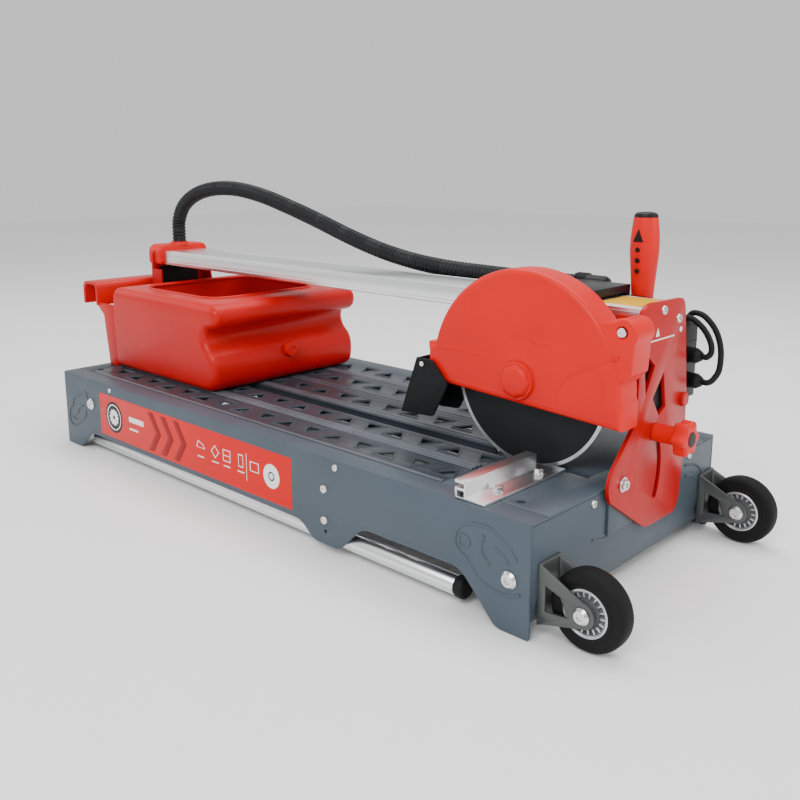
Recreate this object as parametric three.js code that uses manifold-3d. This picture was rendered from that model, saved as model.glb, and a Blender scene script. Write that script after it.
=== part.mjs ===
// Portable electric wet tile saw with a sliding, tilting head, in millimetres, +Z up.
// Saw frame while modelling: x runs along the guide rail with the wheel end of the base at 0,
// y runs from the near long side (0) to the far one, and z is height above the floor.
import * as THREE from 'three';
import { mergeVertices } from 'three/addons/utils/BufferGeometryUtils.js';
import Module from 'manifold-3d';

const wasm = await Module();
wasm.setup();

// ---- driving dimensions -------------------------------------------------------------
const BASE_LENGTH = 912;
const BASE_WIDTH = 386;
const DECK_HEIGHT = 118;
const SHEET = 3;
const GAP = 0.3;
const OVERALL_MIN_X = -975;
const OVERALL_MAX_X = 89;
const OVERALL_MIN_Y = -4;
const OVERALL_MAX_Y = 390;

const FLANGE_WIDTH = 25;
const PLANK_LEFT = -870;
const PLANK_RIGHT = -135;
const BLADE_SLOT = [141, 161];
const PLANK_SEAM_Y = 232.3;

const BLADE_RADIUS = 100;
const BLADE_THICKNESS = 2.2;
const BLADE_X = -112;
const BLADE_Y = 151;
const BLADE_Z = 211.5;

const PIVOT_Y = BLADE_Y;
const PIVOT_Z = 119;
const STUD_RADIUS = 77.5;
const STUD_ANGLE = THREE.MathUtils.degToRad(33);
const STUD_Y = PIVOT_Y + STUD_RADIUS * Math.cos(STUD_ANGLE);
const STUD_Z = PIVOT_Z + STUD_RADIUS * Math.sin(STUD_ANGLE);
const STAND_FACE = [0.3, 3.3];
const TOWER_FACE = [3.7, 8.2];

const RAIL_Y = [187, 263];
const RAIL_Z = [275.3, 298.3];

const WHEEL_RADIUS = 40;
const WHEEL_X = 49;
const WHEEL_WIDTH = 24;
const NEAR_WHEEL_Y = 30;
const FAR_WHEEL_Y = 368;

const LEG_RADIUS = 11;
const LEFT_LEG_PIVOT = [-828, 78];
const RIGHT_LEG_PIVOT = [-24, 55.5];
const LEFT_LEG_Z = 18;
const LEFT_LEG_TUBES = [17, 369];
const RIGHT_LEG_TUBES = [45, 341];

const TANK_X = [-885, -600];
const TANK_Y = [74, 352];
const TANK_TOP = 249;

const HOSE_RADIUS = 12;
const MOTOR_RADIUS = 50;

// ---- materials ----------------------------------------------------------------------
const material = (color, roughness, metalness) =>
  new THREE.MeshStandardMaterial({ color, roughness, metalness });
const greyPaint = material(0x5c6670, 0.45, 0.1);
const darkPaint = material(0x2c3036, 0.5, 0.1);
const redPaint = material(0xc8141b, 0.35, 0.1);
const redPlastic = material(0xd9221f, 0.4, 0);
const blackPlastic = material(0x17181a, 0.55, 0);
const blackRubber = material(0x121314, 0.85, 0);
const aluminium = material(0xd5d8da, 0.35, 0.9);
const steel = material(0xb4b8bc, 0.3, 1);
const motorGrey = material(0x4a4d50, 0.5, 0.4);
const hubPlastic = material(0x8d9093, 0.5, 0);

// ---- scene graph --------------------------------------------------------------------
const saw = new THREE.Group();
const sawFrame = new THREE.Group();
sawFrame.position.set(
  -(OVERALL_MIN_X + OVERALL_MAX_X) / 2,
  -(OVERALL_MIN_Y + OVERALL_MAX_Y) / 2,
  0,
);
saw.add(sawFrame);

function addPart(name, geometry, partMaterial) {
  const mesh = new THREE.Mesh(geometry, partMaterial);
  mesh.name = name;
  sawFrame.add(mesh);
}

// ---- solids -------------------------------------------------------------------------
const X_AXIS = new THREE.Vector3(1, 0, 0);
const Y_AXIS = new THREE.Vector3(0, 1, 0);
const Z_AXIS = new THREE.Vector3(0, 0, 1);

function toManifold(geometry) {
  const bare = geometry.clone();
  for (const name of Object.keys(bare.attributes)) {
    if (name !== 'position') bare.deleteAttribute(name);
  }
  const merged = mergeVertices(bare, 1e-4);
  return new wasm.Manifold(new wasm.Mesh({
    numProp: 3,
    vertProperties: new Float32Array(merged.attributes.position.array),
    triVerts: new Uint32Array(merged.index.array),
  }));
}

function toGeometry(manifold) {
  const mesh = manifold.getMesh();
  const geometry = new THREE.BufferGeometry();
  geometry.setAttribute('position', new THREE.BufferAttribute(mesh.vertProperties, 3));
  geometry.setIndex(new THREE.BufferAttribute(mesh.triVerts, 1));
  geometry.computeVertexNormals();
  return geometry;
}

const join = (...solids) =>
  toGeometry(solids.map(toManifold).reduce((sum, next) => sum.add(next)));
const cut = (solid, ...tools) =>
  toGeometry(tools.map(toManifold).reduce((rest, tool) => rest.subtract(tool), toManifold(solid)));

function box([x0, x1], [y0, y1], [z0, z1]) {
  return new THREE.BoxGeometry(x1 - x0, y1 - y0, z1 - z0)
    .translate((x0 + x1) / 2, (y0 + y1) / 2, (z0 + z1) / 2);
}

function outlineShape(points) {
  return new THREE.Shape(points.map(([u, v]) => new THREE.Vector2(u, v)));
}

function extrude(shape, depth, bevel = 0, curveSegments = 8) {
  const inner = depth - 2 * bevel;
  const geometry = new THREE.ExtrudeGeometry(shape, {
    depth: inner,
    bevelEnabled: bevel > 0,
    bevelThickness: bevel,
    bevelSize: bevel,
    bevelOffset: -bevel,
    bevelSegments: 2,
    curveSegments,
  });
  return geometry.translate(0, 0, bevel);
}

// A plate standing across x: its outline is drawn in (y, z).
function plateAcrossX(shape, [x0, x1], bevel = 0, curveSegments = 8) {
  return extrude(shape, x1 - x0, bevel, curveSegments)
    .applyMatrix4(new THREE.Matrix4().makeBasis(Y_AXIS, Z_AXIS, X_AXIS))
    .translate(x0, 0, 0);
}

// A plate standing across y: its outline is drawn in (x, z).
function plateAcrossY(shape, [y0, y1], bevel = 0, curveSegments = 8) {
  const backwards = Y_AXIS.clone().negate();
  return extrude(shape, y1 - y0, bevel, curveSegments)
    .applyMatrix4(new THREE.Matrix4().makeBasis(X_AXIS, Z_AXIS, backwards))
    .translate(0, y1, 0);
}

function turn(profile, segments) {
  const points = profile.map(([radius, along]) => new THREE.Vector2(radius, along));
  return new THREE.LatheGeometry(points, segments);
}

// Turned solids: profile points are (radius, distance along the axis).
const turnAlongX = (profile, [x, y, z], segments = 24) =>
  turn(profile, segments).rotateZ(-Math.PI / 2).translate(x, y, z);
const turnAlongY = (profile, [x, y, z], segments = 24) =>
  turn(profile, segments).translate(x, y, z);
const turnAlongZ = (profile, [x, y, z], segments = 24) =>
  turn(profile, segments).rotateX(Math.PI / 2).translate(x, y, z);

const rod = (radius, from, to) => [[0, from], [radius, from], [radius, to], [0, to]];
const ring = (inner, outer, from, to) =>
  [[inner, from], [outer, from], [outer, to], [inner, to], [inner, from]];
const boltWithHeads = (radius, head, headHeight, from, to) => [
  [0, from - headHeight], [head, from - headHeight], [head, from], [radius, from],
  [radius, to], [head, to], [head, to + headHeight], [0, to + headHeight],
];

function tubeAlong(points, radius, sides, steps) {
  const route = new THREE.CatmullRomCurve3(points.map((p) => new THREE.Vector3(...p)));
  const section = new THREE.Shape();
  for (let side = 0; side < sides; side += 1) {
    const angle = (side / sides) * 2 * Math.PI;
    const corner = [radius * Math.cos(angle), radius * Math.sin(angle)];
    if (side === 0) section.moveTo(...corner);
    else section.lineTo(...corner);
  }
  section.closePath();
  return new THREE.ExtrudeGeometry(section, { steps, extrudePath: route, bevelEnabled: false });
}

const mirrorX = (x) => -BASE_LENGTH - x;
function mirrored(geometry) {
  const flipped = geometry.clone().scale(-1, 1, 1).translate(-BASE_LENGTH, 0, 0);
  const source = flipped.index
    ? flipped.index.array
    : Uint32Array.from({ length: flipped.attributes.position.count }, (_, i) => i);
  const turned = new Uint32Array(source.length);
  for (let i = 0; i < source.length; i += 3) {
    turned[i] = source[i];
    turned[i + 1] = source[i + 2];
    turned[i + 2] = source[i + 1];
  }
  flipped.setIndex(new THREE.BufferAttribute(turned, 1));
  return flipped;
}

// ---- base ---------------------------------------------------------------------------
function sidePanel(inner) {
  const outline = outlineShape([
    [-BASE_LENGTH, DECK_HEIGHT], [-BASE_LENGTH, 0], [-869, 0], [-836, 29], [-331, 28.5],
    [-305, 11], [-265, 13], [-233, 49], [-84, 42], [-71, 27], [-45, 0], [0, 0], [0, DECK_HEIGHT],
  ]);
  const wallY = inner > 0 ? [0, SHEET] : [BASE_WIDTH - SHEET, BASE_WIDTH];
  const flangeY = inner > 0
    ? [SHEET - 0.5, SHEET + FLANGE_WIDTH]
    : [BASE_WIDTH - SHEET - FLANGE_WIDTH, BASE_WIDTH - SHEET + 0.5];
  const bore = (radius, [x, z]) => turnAlongY(rod(radius, -5, BASE_WIDTH + 5), [x, 0, z], 20);
  return cut(
    join(
      plateAcrossY(outline, wallY),
      box([-BASE_LENGTH, 0], flangeY, [DECK_HEIGHT - SHEET, DECK_HEIGHT]),
    ),
    bore(5.5, LEFT_LEG_PIVOT),
    bore(5.5, RIGHT_LEG_PIVOT),
  );
}

function endPanel() {
  const top = DECK_HEIGHT - SHEET - GAP;
  const foldZ = 42;
  const bottomZ = 13;
  const lean = 6;
  const section = outlineShape([
    [-lean, bottomZ], [0, foldZ], [0, top], [-SHEET, top], [-SHEET, foldZ], [-lean - SHEET, bottomZ],
  ]);
  return plateAcrossY(section, [SHEET + GAP, BASE_WIDTH - SHEET - GAP]);
}

const DECK_Y = [SHEET + FLANGE_WIDTH + GAP, BASE_WIDTH - SHEET - FLANGE_WIDTH - GAP];
const LEDGE_TOP = DECK_HEIGHT - SHEET - GAP;
const LEDGE_BOTTOM = LEDGE_TOP - SHEET;
const LEDGE_REACH = 24;

// A deck plate whose inner edge steps down into a ledge that the planks rest on.
function deckPlate(outerX, innerX, ledgeStartX, ledgeEndX) {
  const bottom = DECK_HEIGHT - SHEET;
  const section = outlineShape([
    [outerX, DECK_HEIGHT], [outerX, bottom], [ledgeStartX, bottom], [ledgeStartX, LEDGE_BOTTOM],
    [ledgeEndX, LEDGE_BOTTOM], [ledgeEndX, LEDGE_TOP], [innerX, LEDGE_TOP], [innerX, DECK_HEIGHT],
  ]);
  return plateAcrossY(section, DECK_Y);
}

function rightDeckPlate() {
  const plate = deckPlate(0, PLANK_RIGHT + GAP, -20, PLANK_RIGHT - LEDGE_REACH);
  const slot = box([PLANK_RIGHT - LEDGE_REACH - 5, -30], BLADE_SLOT, [100, 130]);
  return cut(plate, slot, turnAlongZ(rod(5, 100, 130), [-42, 42, 0], 16));
}

function leftDeckPlate() {
  const plate = deckPlate(-BASE_LENGTH, PLANK_LEFT - GAP, -892, PLANK_LEFT + LEDGE_REACH);
  const slot = box([PLANK_LEFT, PLANK_LEFT + LEDGE_REACH + 5], BLADE_SLOT, [100, 130]);
  return cut(plate, slot, turnAlongZ(rod(5, 100, 130), [-877, 45, 0], 16));
}

function deckPlank([y0, y1]) {
  const ribs = [y0 + 3, (y0 + y1) / 2, y1 - 3];
  const ribDepth = 10;
  const sheet = box([PLANK_LEFT, PLANK_RIGHT], [y0, y1], [DECK_HEIGHT - 2.7, DECK_HEIGHT]);
  const ribX = [PLANK_LEFT + 30, PLANK_RIGHT - 30];
  const ribZ = [DECK_HEIGHT - ribDepth, DECK_HEIGHT - 2];
  return join(sheet, ...ribs.map((y) => box(ribX, [y - 1.5, y + 1.5], ribZ)));
}

// An angle of aluminium: a flange bolted to the deck and a hollow channel that the tile stops at.
function fenceRail() {
  const [near, far] = [4, 146];
  const [left, web, right] = [-96, -82, -58];
  const floor = DECK_HEIGHT + GAP;
  const [flangeTop, channelTop] = [floor + 3, floor + 20];
  const wall = 2.5;
  const channelEnd = 125;
  const flangeCorner = [-74, 140];
  const through = [near - 1, far + 1];
  const section = outlineShape([
    [left, floor], [right, floor], [right, flangeTop], [web, flangeTop], [web, channelTop], [left, channelTop],
  ]);
  return cut(
    plateAcrossY(section, [near, far]),
    box([left + wall, web - wall], through, [floor + wall, floor + 9]),
    box([left - 1, web - wall], through, [floor + 12, floor + 16.5]),
    box([left - 4, web + 2], [channelEnd, far + 1], [flangeTop, channelTop + 1]),
    box([left - 4, flangeCorner[0]], [flangeCorner[1], far + 1], [floor - 1, channelTop + 1]),
  );
}

function fenceBolt(y) {
  const seat = DECK_HEIGHT + 2 * GAP + 3;
  return turnAlongZ([[0, seat], [7, seat], [7, seat + 4], [4, seat + 6], [0, seat + 6]], [-70, y, 0], 6);
}

// ---- tilting bridge -----------------------------------------------------------------
function circleHole(u, v, radius) {
  const hole = new THREE.Path();
  hole.absarc(u, v, radius, 0, 2 * Math.PI, false);
  return hole;
}

function pivotStand() {
  const outline = outlineShape([
    [134, 66], [214, 66], [228, 150], [229, 165], [219, 175], [204, 170], [165, 133], [151, 136],
    [138, 131], [134, 119],
  ]);
  outline.holes.push(circleHole(PIVOT_Y, PIVOT_Z, 5.4));
  const plate = plateAcrossX(outline, STAND_FACE, 0, 6);
  const stud = turnAlongX(rod(4, STAND_FACE[1] - 1, 40), [0, STUD_Y, STUD_Z], 16);
  return join(plate, stud);
}

function clampSlot() {
  const low = THREE.MathUtils.degToRad(-23);
  const high = STUD_ANGLE + THREE.MathUtils.degToRad(2);
  const half = 4.6;
  const slot = new THREE.Path();
  slot.absarc(PIVOT_Y, PIVOT_Z, STUD_RADIUS + half, low, high, false);
  slot.absarc(
    PIVOT_Y + STUD_RADIUS * Math.cos(high), PIVOT_Z + STUD_RADIUS * Math.sin(high),
    half, high, high + Math.PI, false,
  );
  slot.absarc(PIVOT_Y, PIVOT_Z, STUD_RADIUS - half, high, low, true);
  slot.absarc(
    PIVOT_Y + STUD_RADIUS * Math.cos(low), PIVOT_Z + STUD_RADIUS * Math.sin(low),
    half, low + Math.PI, low + 2 * Math.PI, false,
  );
  return slot;
}

function trianglePath(points) {
  return new THREE.Path(points.map(([u, v]) => new THREE.Vector2(u, v)));
}

function towerOutline() {
  const outline = new THREE.Shape();
  outline.moveTo(128, 104);
  outline.lineTo(196, 60);
  outline.quadraticCurveTo(204, 54, 216, 54);
  outline.lineTo(268, 54);
  outline.quadraticCurveTo(280, 56, 283, 78);
  outline.lineTo(288, 130);
  outline.lineTo(286, 190);
  outline.lineTo(271, 290);
  outline.quadraticCurveTo(269, 302, 258, 303);
  outline.lineTo(196, 304);
  outline.quadraticCurveTo(176, 303, 174, 292);
  outline.lineTo(174, 182);
  outline.quadraticCurveTo(160, 166, 132, 140);
  outline.quadraticCurveTo(116, 122, 128, 104);
  outline.holes.push(clampSlot());
  outline.holes.push(circleHole(PIVOT_Y, PIVOT_Z, 5.4));
  outline.holes.push(trianglePath([[182, 256], [207, 236], [190, 206]]));
  outline.holes.push(trianglePath([[228, 226], [236, 186], [222, 178], [206, 200]]));
  return outline;
}

// The tower plate with both long edges folded back towards the saw, up to foldTop.
function tower(foldTop) {
  const foldBack = [TOWER_FACE[0] - 24, TOWER_FACE[0] + 1];
  const foldBottom = 190;
  const farEdge = (z) => 287 - (z - 186) * 0.15;
  const farFold = outlineShape([
    [farEdge(foldBottom) - 3, foldBottom], [farEdge(foldBottom), foldBottom],
    [farEdge(foldTop), foldTop], [farEdge(foldTop) - 3, foldTop],
  ]);
  return join(
    plateAcrossX(towerOutline(), TOWER_FACE, 0, 6),
    box(foldBack, [174, 177], [foldBottom, foldTop]),
    plateAcrossX(farFold, foldBack),
  );
}

function guideRail() {
  const ends = [mirrorX(TOWER_FACE[0]) + GAP, TOWER_FACE[0] - GAP];
  const wall = 3;
  const middle = (RAIL_Y[0] + RAIL_Y[1]) / 2;
  const inside = [RAIL_Z[0] + wall, RAIL_Z[1] - wall];
  return cut(
    box(ends, RAIL_Y, RAIL_Z),
    box([ends[0] - 1, ends[1] + 1], [RAIL_Y[0] + wall, middle - wall / 2], inside),
    box([ends[0] - 1, ends[1] + 1], [middle + wall / 2, RAIL_Y[1] - wall], inside),
  );
}

function leftRailCap() {
  const outline = new THREE.Shape();
  outline.moveTo(178, 275);
  outline.lineTo(275, 275);
  outline.lineTo(275, 297);
  outline.quadraticCurveTo(274, 309, 262, 309);
  outline.lineTo(194, 309);
  outline.quadraticCurveTo(180, 308, 178, 293);
  outline.closePath();
  const collar = turnAlongZ(rod(15, 307, 312), [-914, 228, 0], 20);
  return cut(
    join(plateAcrossX(outline, [-936, -899], 0, 6), collar),
    box([-920.8, -915], [170, 289], [270, 304.4]),
    box([-915.2, -898], [RAIL_Y[0] - 0.4, RAIL_Y[1] + 0.4], [270, RAIL_Z[1] + 0.4]),
  );
}

function clampKnob() {
  const lobes = 6;
  const outline = new THREE.Shape();
  const steps = 48;
  for (let step = 0; step < steps; step += 1) {
    const angle = (step / steps) * 2 * Math.PI;
    const radius = 17.5 + 2.5 * Math.cos(lobes * angle);
    const point = [STUD_Y + radius * Math.cos(angle), STUD_Z + radius * Math.sin(angle)];
    if (step === 0) outline.moveTo(...point);
    else outline.lineTo(...point);
  }
  outline.closePath();
  const head = plateAcrossX(outline, [34, 50]);
  const hub = turnAlongX(rod(10, TOWER_FACE[1] + GAP, 35), [0, STUD_Y, STUD_Z]);
  const bore = turnAlongX(rod(4.4, 0, 41), [0, STUD_Y, STUD_Z], 16);
  return cut(join(head, hub), bore);
}

function pivotBolt() {
  const head = TOWER_FACE[1] + GAP;
  const back = STAND_FACE[0] - 0.2;
  const profile = [[0, back], [5, back], [5, head], [9, head], [9, head + 5], [0, head + 5]];
  return turnAlongX(profile, [0, PIVOT_Y, PIVOT_Z], 12);
}

// ---- carriage -----------------------------------------------------------------------
const CARRIAGE_X = [-170, -62];
const ROLLER_RADIUS = 9;
const ROLLER_Z = RAIL_Z[0] - ROLLER_RADIUS - GAP;
const ROLLERS_X = [-152, -74];

function carriageHousing() {
  const frontCheek = join(
    box(CARRIAGE_X, [171, 184], [250, 310]),
    box([-172, -52], [171, 175.5], [172, 252]),
  );
  const body = join(
    frontCheek,
    box(CARRIAGE_X, [266, 274], [252, 310]),
    box(CARRIAGE_X, [180, 270], [301, 310]),
    box([CARRIAGE_X[1] - 2, -34], [266, 270.5], [262, 298]),
    box([-78, -34], [270, 300], [262, 282]),
  );
  const axleHoles = ROLLERS_X.map((x) =>
    turnAlongY(rod(3.6, 160, 290), [x, 0, ROLLER_Z], 12));
  return cut(
    body,
    ...axleHoles,
    turnAlongY(rod(22, 160, 178), [BLADE_X, 0, BLADE_Z], 28),
    turnAlongY(rod(MOTOR_RADIUS + 0.6, 175.7, 345), [BLADE_X, 0, BLADE_Z], 32),
  );
}

function roller(x) {
  const profile = [
    [0, 172], [3.2, 172], [3.2, 192], [ROLLER_RADIUS, 192],
    [ROLLER_RADIUS, 258], [3.2, 258], [3.2, 273], [0, 273],
  ];
  return turnAlongY(profile, [x, 0, ROLLER_Z], 20);
}

function motorHousing() {
  const bore = MOTOR_RADIUS - 12;
  const profile = [
    [8, 176], [MOTOR_RADIUS - 4, 176], [MOTOR_RADIUS, 180], [MOTOR_RADIUS, 306],
    [bore, 306], [bore, 190], [8, 190], [8, 176],
  ];
  return turnAlongY(profile, [BLADE_X, 0, BLADE_Z], 24);
}

function motorFanCover() {
  const profile = [
    [0, 334], [28, 334], [MOTOR_RADIUS - 3, 322], [MOTOR_RADIUS - 3, 306.3],
    [MOTOR_RADIUS, 306.3], [MOTOR_RADIUS, 324], [30, 338], [0, 338],
  ];
  return turnAlongY(profile, [BLADE_X, 0, BLADE_Z], 24);
}

function motorRotor() {
  const profile = [
    [0, 136], [6, 136], [6, 162], [7.5, 162], [7.5, 200], [30, 200], [30, 280],
    [7.5, 280], [7.5, 312], [26, 312], [26, 320], [0, 320],
  ];
  return turnAlongY(profile, [BLADE_X, 0, BLADE_Z], 16);
}

function sawBlade() {
  const half = BLADE_THICKNESS / 2;
  const profile = ring(6.4, BLADE_RADIUS, BLADE_Y - half, BLADE_Y + half);
  return turnAlongY(profile, [BLADE_X, 0, BLADE_Z], 44);
}

function bladeFlange() {
  const front = BLADE_Y - BLADE_THICKNESS / 2 - GAP;
  const profile = [
    [6.4, front - 12], [12, front - 12], [12, front - 5], [25, front - 4], [25, front], [6.4, front],
    [6.4, front - 12],
  ];
  return turnAlongY(profile, [BLADE_X, 0, BLADE_Z], 24);
}

const GUARD_RADIUS = 124;
const GUARD_Y = [128, 168];
const FLAP_PIVOT = [-247, 212.5];

function guardOutline(inset) {
  const radius = GUARD_RADIUS - inset;
  const outline = new THREE.Shape();
  const floorLift = inset > 0 ? -30 : 0;
  const wallLeft = -243 + inset;
  const wallRight = 14 - inset;
  outline.moveTo(wallLeft, 194 + floorLift);
  outline.lineTo(wallRight, 180 + floorLift);
  outline.lineTo(BLADE_X + radius, BLADE_Z);
  outline.absarc(BLADE_X, BLADE_Z, radius, 0, Math.PI - 0.21, false);
  outline.lineTo(wallLeft, BLADE_Z + radius * Math.sin(0.21) + (inset > 0 ? -inset / 2 : 0));
  outline.closePath();
  return outline;
}

function guardShell() {
  const wall = 3;
  const [front, back] = GUARD_Y;
  const lugCentre = [10, 282];
  const lug = new THREE.Shape();
  lug.absarc(...lugCentre, 22, 0, 2 * Math.PI, false);
  const shaftHole = turnAlongY(rod(28, 160, 170), [BLADE_X, 0, BLADE_Z], 28);
  const lowerBack = box([-232, 4], [back - wall - 1, back + 1], [150, 200]);
  const hollow = plateAcrossY(guardOutline(wall), [front + wall, back - wall], 0, 12);
  const bossProfile = [
    [0, front - 10], [16, front - 10], [19, front - 7], [19, front + 2], [0, front + 2],
  ];
  const boss = turnAlongY(bossProfile, [BLADE_X + 2, 0, BLADE_Z + 3], 24);
  const [hingeX, hingeZ] = FLAP_PIVOT;
  const hingePin = turnAlongY(rod(3, front - 6.5, back + 6.5), [hingeX, 0, hingeZ], 10);
  const hingeTab = box([hingeX, -238], [front + 3, back - 3], [hingeZ - 3, hingeZ + 3]);
  const shell = cut(
    join(plateAcrossY(guardOutline(0), GUARD_Y, 5, 12), plateAcrossY(lug, [front + 3, back], 3, 7)),
    hollow,
    shaftHole,
    lowerBack,
    turnAlongY(rod(4.4, front - 5, back + 5), [lugCentre[0], 0, lugCentre[1]], 14),
  );
  return join(shell, boss, hingeTab, hingePin);
}

function guardBolt() {
  const [front, back] = GUARD_Y;
  const profile = [
    [0, front - 2], [8, front - 2], [8, front + 2.6], [4, front + 2.6], [4, back + 0.3], [7, back + 0.3],
    [7, back + 2.6], [0, back + 2.6],
  ];
  return turnAlongY(profile, [10, 0, 282], 12);
}

function splashFlap() {
  const cheek = outlineShape([[-256, 219], [-232, 219], [-207, 193], [-230, 150.5], [-281, 148]]);
  const endWall = outlineShape([[-256, 219], [-253, 219], [-278, 148], [-281, 148]]);
  const pinHole = turnAlongY(rod(3.4, 110, 190), [FLAP_PIVOT[0], 0, FLAP_PIVOT[1]], 10);
  const flap = join(
    plateAcrossY(cheek, [122.5, 125.5]),
    plateAcrossY(cheek, [170.5, 173.5]),
    plateAcrossY(endWall, [122.5, 173.5]),
  );
  return cut(flap, pinHole);
}

// ---- controls and leads -------------------------------------------------------------
const BOX_X = [-60, -14];
const BOX_Y = [304, 354];
const BOX_Z = [172, 262];

function switchBox() {
  return cut(
    box(BOX_X, BOX_Y, BOX_Z),
    box([-54, -30], [318, 340], [BOX_Z[1] - 9, BOX_Z[1] + 1]),
  );
}

function rockerSwitch() {
  const middle = -42;
  const z = BOX_Z[1];
  const outline = outlineShape([
    [middle - 9, z + 0.5], [middle - 9, z - 4], [middle + 9, z - 4], [middle + 9, z + 4], [middle, z + 1],
  ]);
  return plateAcrossY(outline, [319, 339]);
}

function gland(y, z) {
  const start = BOX_X[1] + GAP;
  const profile = [
    [0, start], [9.5, start], [9.5, start + 11], [7.5, start + 15], [5, start + 18], [0, start + 18],
  ];
  return turnAlongX(profile, [0, y, z], 12);
}

const UPPER_GLAND = [329, 226];
const LOWER_GLAND = [333, 195];
const upperCableRoute = [
  [-23, 326, 262.8], [-23, 326, 266], [-18, 326, 270], [-8, 328, 268], [4, 331, 257], [12, 332, 243],
  [14, 331, 232], [10, 329, 226], [4.9, 329, 226],
];
const lowerCableRoute = [
  [-23, 346, 262.8], [-23, 346, 267], [-17, 346, 273], [-4, 347, 270], [10, 348, 255], [18, 347, 234],
  [20, 342, 211], [16, 336, 199], [11, 333, 195], [4.9, 333, 195],
];

function handleGrip() {
  const profile = [
    [0, 282.3], [12, 282.3], [12.5, 290], [13, 300], [15.5, 330], [16.5, 350], [15.5, 372], [13.5, 385],
    [11, 389], [8, 391], [0, 392],
  ];
  return turnAlongZ(profile, [-53, 286, 0], 20);
}

function hoseGland() {
  const profile = [
    [0, -144], [14, -144], [15, -138], [15, -128], [13, -120], [13, -104], [9, -100], [0, -100],
  ];
  return join(
    turnAlongX(profile, [0, 290, 301], 20),
    box([-132, -108], [274.3, 292], [290, 306]),
  );
}

const hoseRoute = [
  [-914, 228, 313], [-914, 228, 328], [-913, 229, 350], [-898, 231, 375], [-865, 234, 394],
  [-820, 238, 404], [-765, 242, 405], [-705, 247, 396], [-645, 253, 380], [-585, 260, 361],
  [-525, 268, 340], [-465, 276, 322], [-405, 283, 310], [-345, 288, 304], [-285, 290, 302],
  [-215, 290, 301], [-175, 290, 301], [-145, 290, 301],
];

// ---- wheels and legs ----------------------------------------------------------------
function wheelFork(middle) {
  const cheekYs = [
    [middle - WHEEL_WIDTH / 2 - 6, middle - WHEEL_WIDTH / 2 - 3],
    [middle + WHEEL_WIDTH / 2 + 3, middle + WHEEL_WIDTH / 2 + 6],
  ];
  const outline = new THREE.Shape();
  outline.moveTo(0.3, 14);
  outline.lineTo(WHEEL_X, 27);
  outline.absarc(WHEEL_X, WHEEL_RADIUS, 13, -Math.PI / 2, Math.PI / 2, false);
  outline.lineTo(0.3, 76);
  outline.closePath();
  outline.holes.push(circleHole(WHEEL_X, WHEEL_RADIUS, 5.4));
  outline.holes.push(trianglePath([[9, 30], [9, 56], [26, 50], [34, 32]]));
  const backPlate = box([GAP, 3.3], [cheekYs[0][0], cheekYs[1][1]], [14, 76]);
  return join(...cheekYs.map((cheek) => plateAcrossY(outline, cheek, 0, 6)), backPlate);
}

function wheelAxle(middle) {
  const reach = WHEEL_WIDTH / 2 + 6.3;
  return turnAlongY(
    boltWithHeads(5, 8.5, 3.5, middle - reach, middle + reach),
    [WHEEL_X, 0, WHEEL_RADIUS], 12,
  );
}

function tyre(middle) {
  const half = WHEEL_WIDTH / 2;
  const profile = [
    [24, -half], [WHEEL_RADIUS - 5, -half], [WHEEL_RADIUS, -half + 6],
    [WHEEL_RADIUS, half - 6], [WHEEL_RADIUS - 5, half], [24, half], [24, -half],
  ];
  return turnAlongY(profile, [WHEEL_X, middle, WHEEL_RADIUS], 28);
}

function wheelHub(middle) {
  const half = WHEEL_WIDTH / 2;
  return turnAlongY(ring(5.5, 23.5, -half - 1, half + 1), [WHEEL_X, middle, WHEEL_RADIUS], 24);
}

function legTube([x0, x1], y, z) {
  return turnAlongX(ring(LEG_RADIUS - 1.8, LEG_RADIUS, x0, x1), [0, y, z], 12);
}

function crossTube(x, [y0, y1], z) {
  return turnAlongY(rod(7, y0, y1), [x, 0, z], 10);
}

const LEFT_LEG_X = [-842, -100];
const RIGHT_LEG_X = [-741.5, -12];

function leftLegFrame() {
  const [pivotX, pivotZ] = LEFT_LEG_PIVOT;
  const ear = new THREE.Shape();
  ear.absarc(pivotX, pivotZ, 12, 0, Math.PI, false);
  ear.lineTo(pivotX - 12, LEFT_LEG_Z + 4);
  ear.lineTo(pivotX + 40, LEFT_LEG_Z + 4);
  ear.closePath();
  const ears = LEFT_LEG_TUBES.map((y) => plateAcrossY(ear, [y - 2, y + 2], 0, 6));
  const tubes = LEFT_LEG_TUBES.map((y) => legTube(LEFT_LEG_X, y, LEFT_LEG_Z));
  const pivotHole = turnAlongY(rod(5.5, 0, BASE_WIDTH), [pivotX, 0, pivotZ], 12);
  const cross = crossTube(-795, LEFT_LEG_TUBES, LEFT_LEG_Z);
  return cut(join(...tubes, ...ears, cross), pivotHole);
}

function rightLegFrame() {
  const [pivotX, pivotZ] = RIGHT_LEG_PIVOT;
  const tubes = RIGHT_LEG_TUBES.map((y) => legTube(RIGHT_LEG_X, y, pivotZ));
  const pivotHole = turnAlongY(rod(5.5, 0, BASE_WIDTH), [pivotX, 0, pivotZ], 12);
  return cut(join(...tubes, crossTube(-700, RIGHT_LEG_TUBES, pivotZ)), pivotHole);
}

function legFoot(x, y, z) {
  return turnAlongX(rod(12, x - 12, x), [0, y, z], 14);
}

function legRod([x, z]) {
  return turnAlongY(boltWithHeads(5, 9, 3.7, -GAP, BASE_WIDTH + GAP), [x, 0, z], 12);
}

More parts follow.
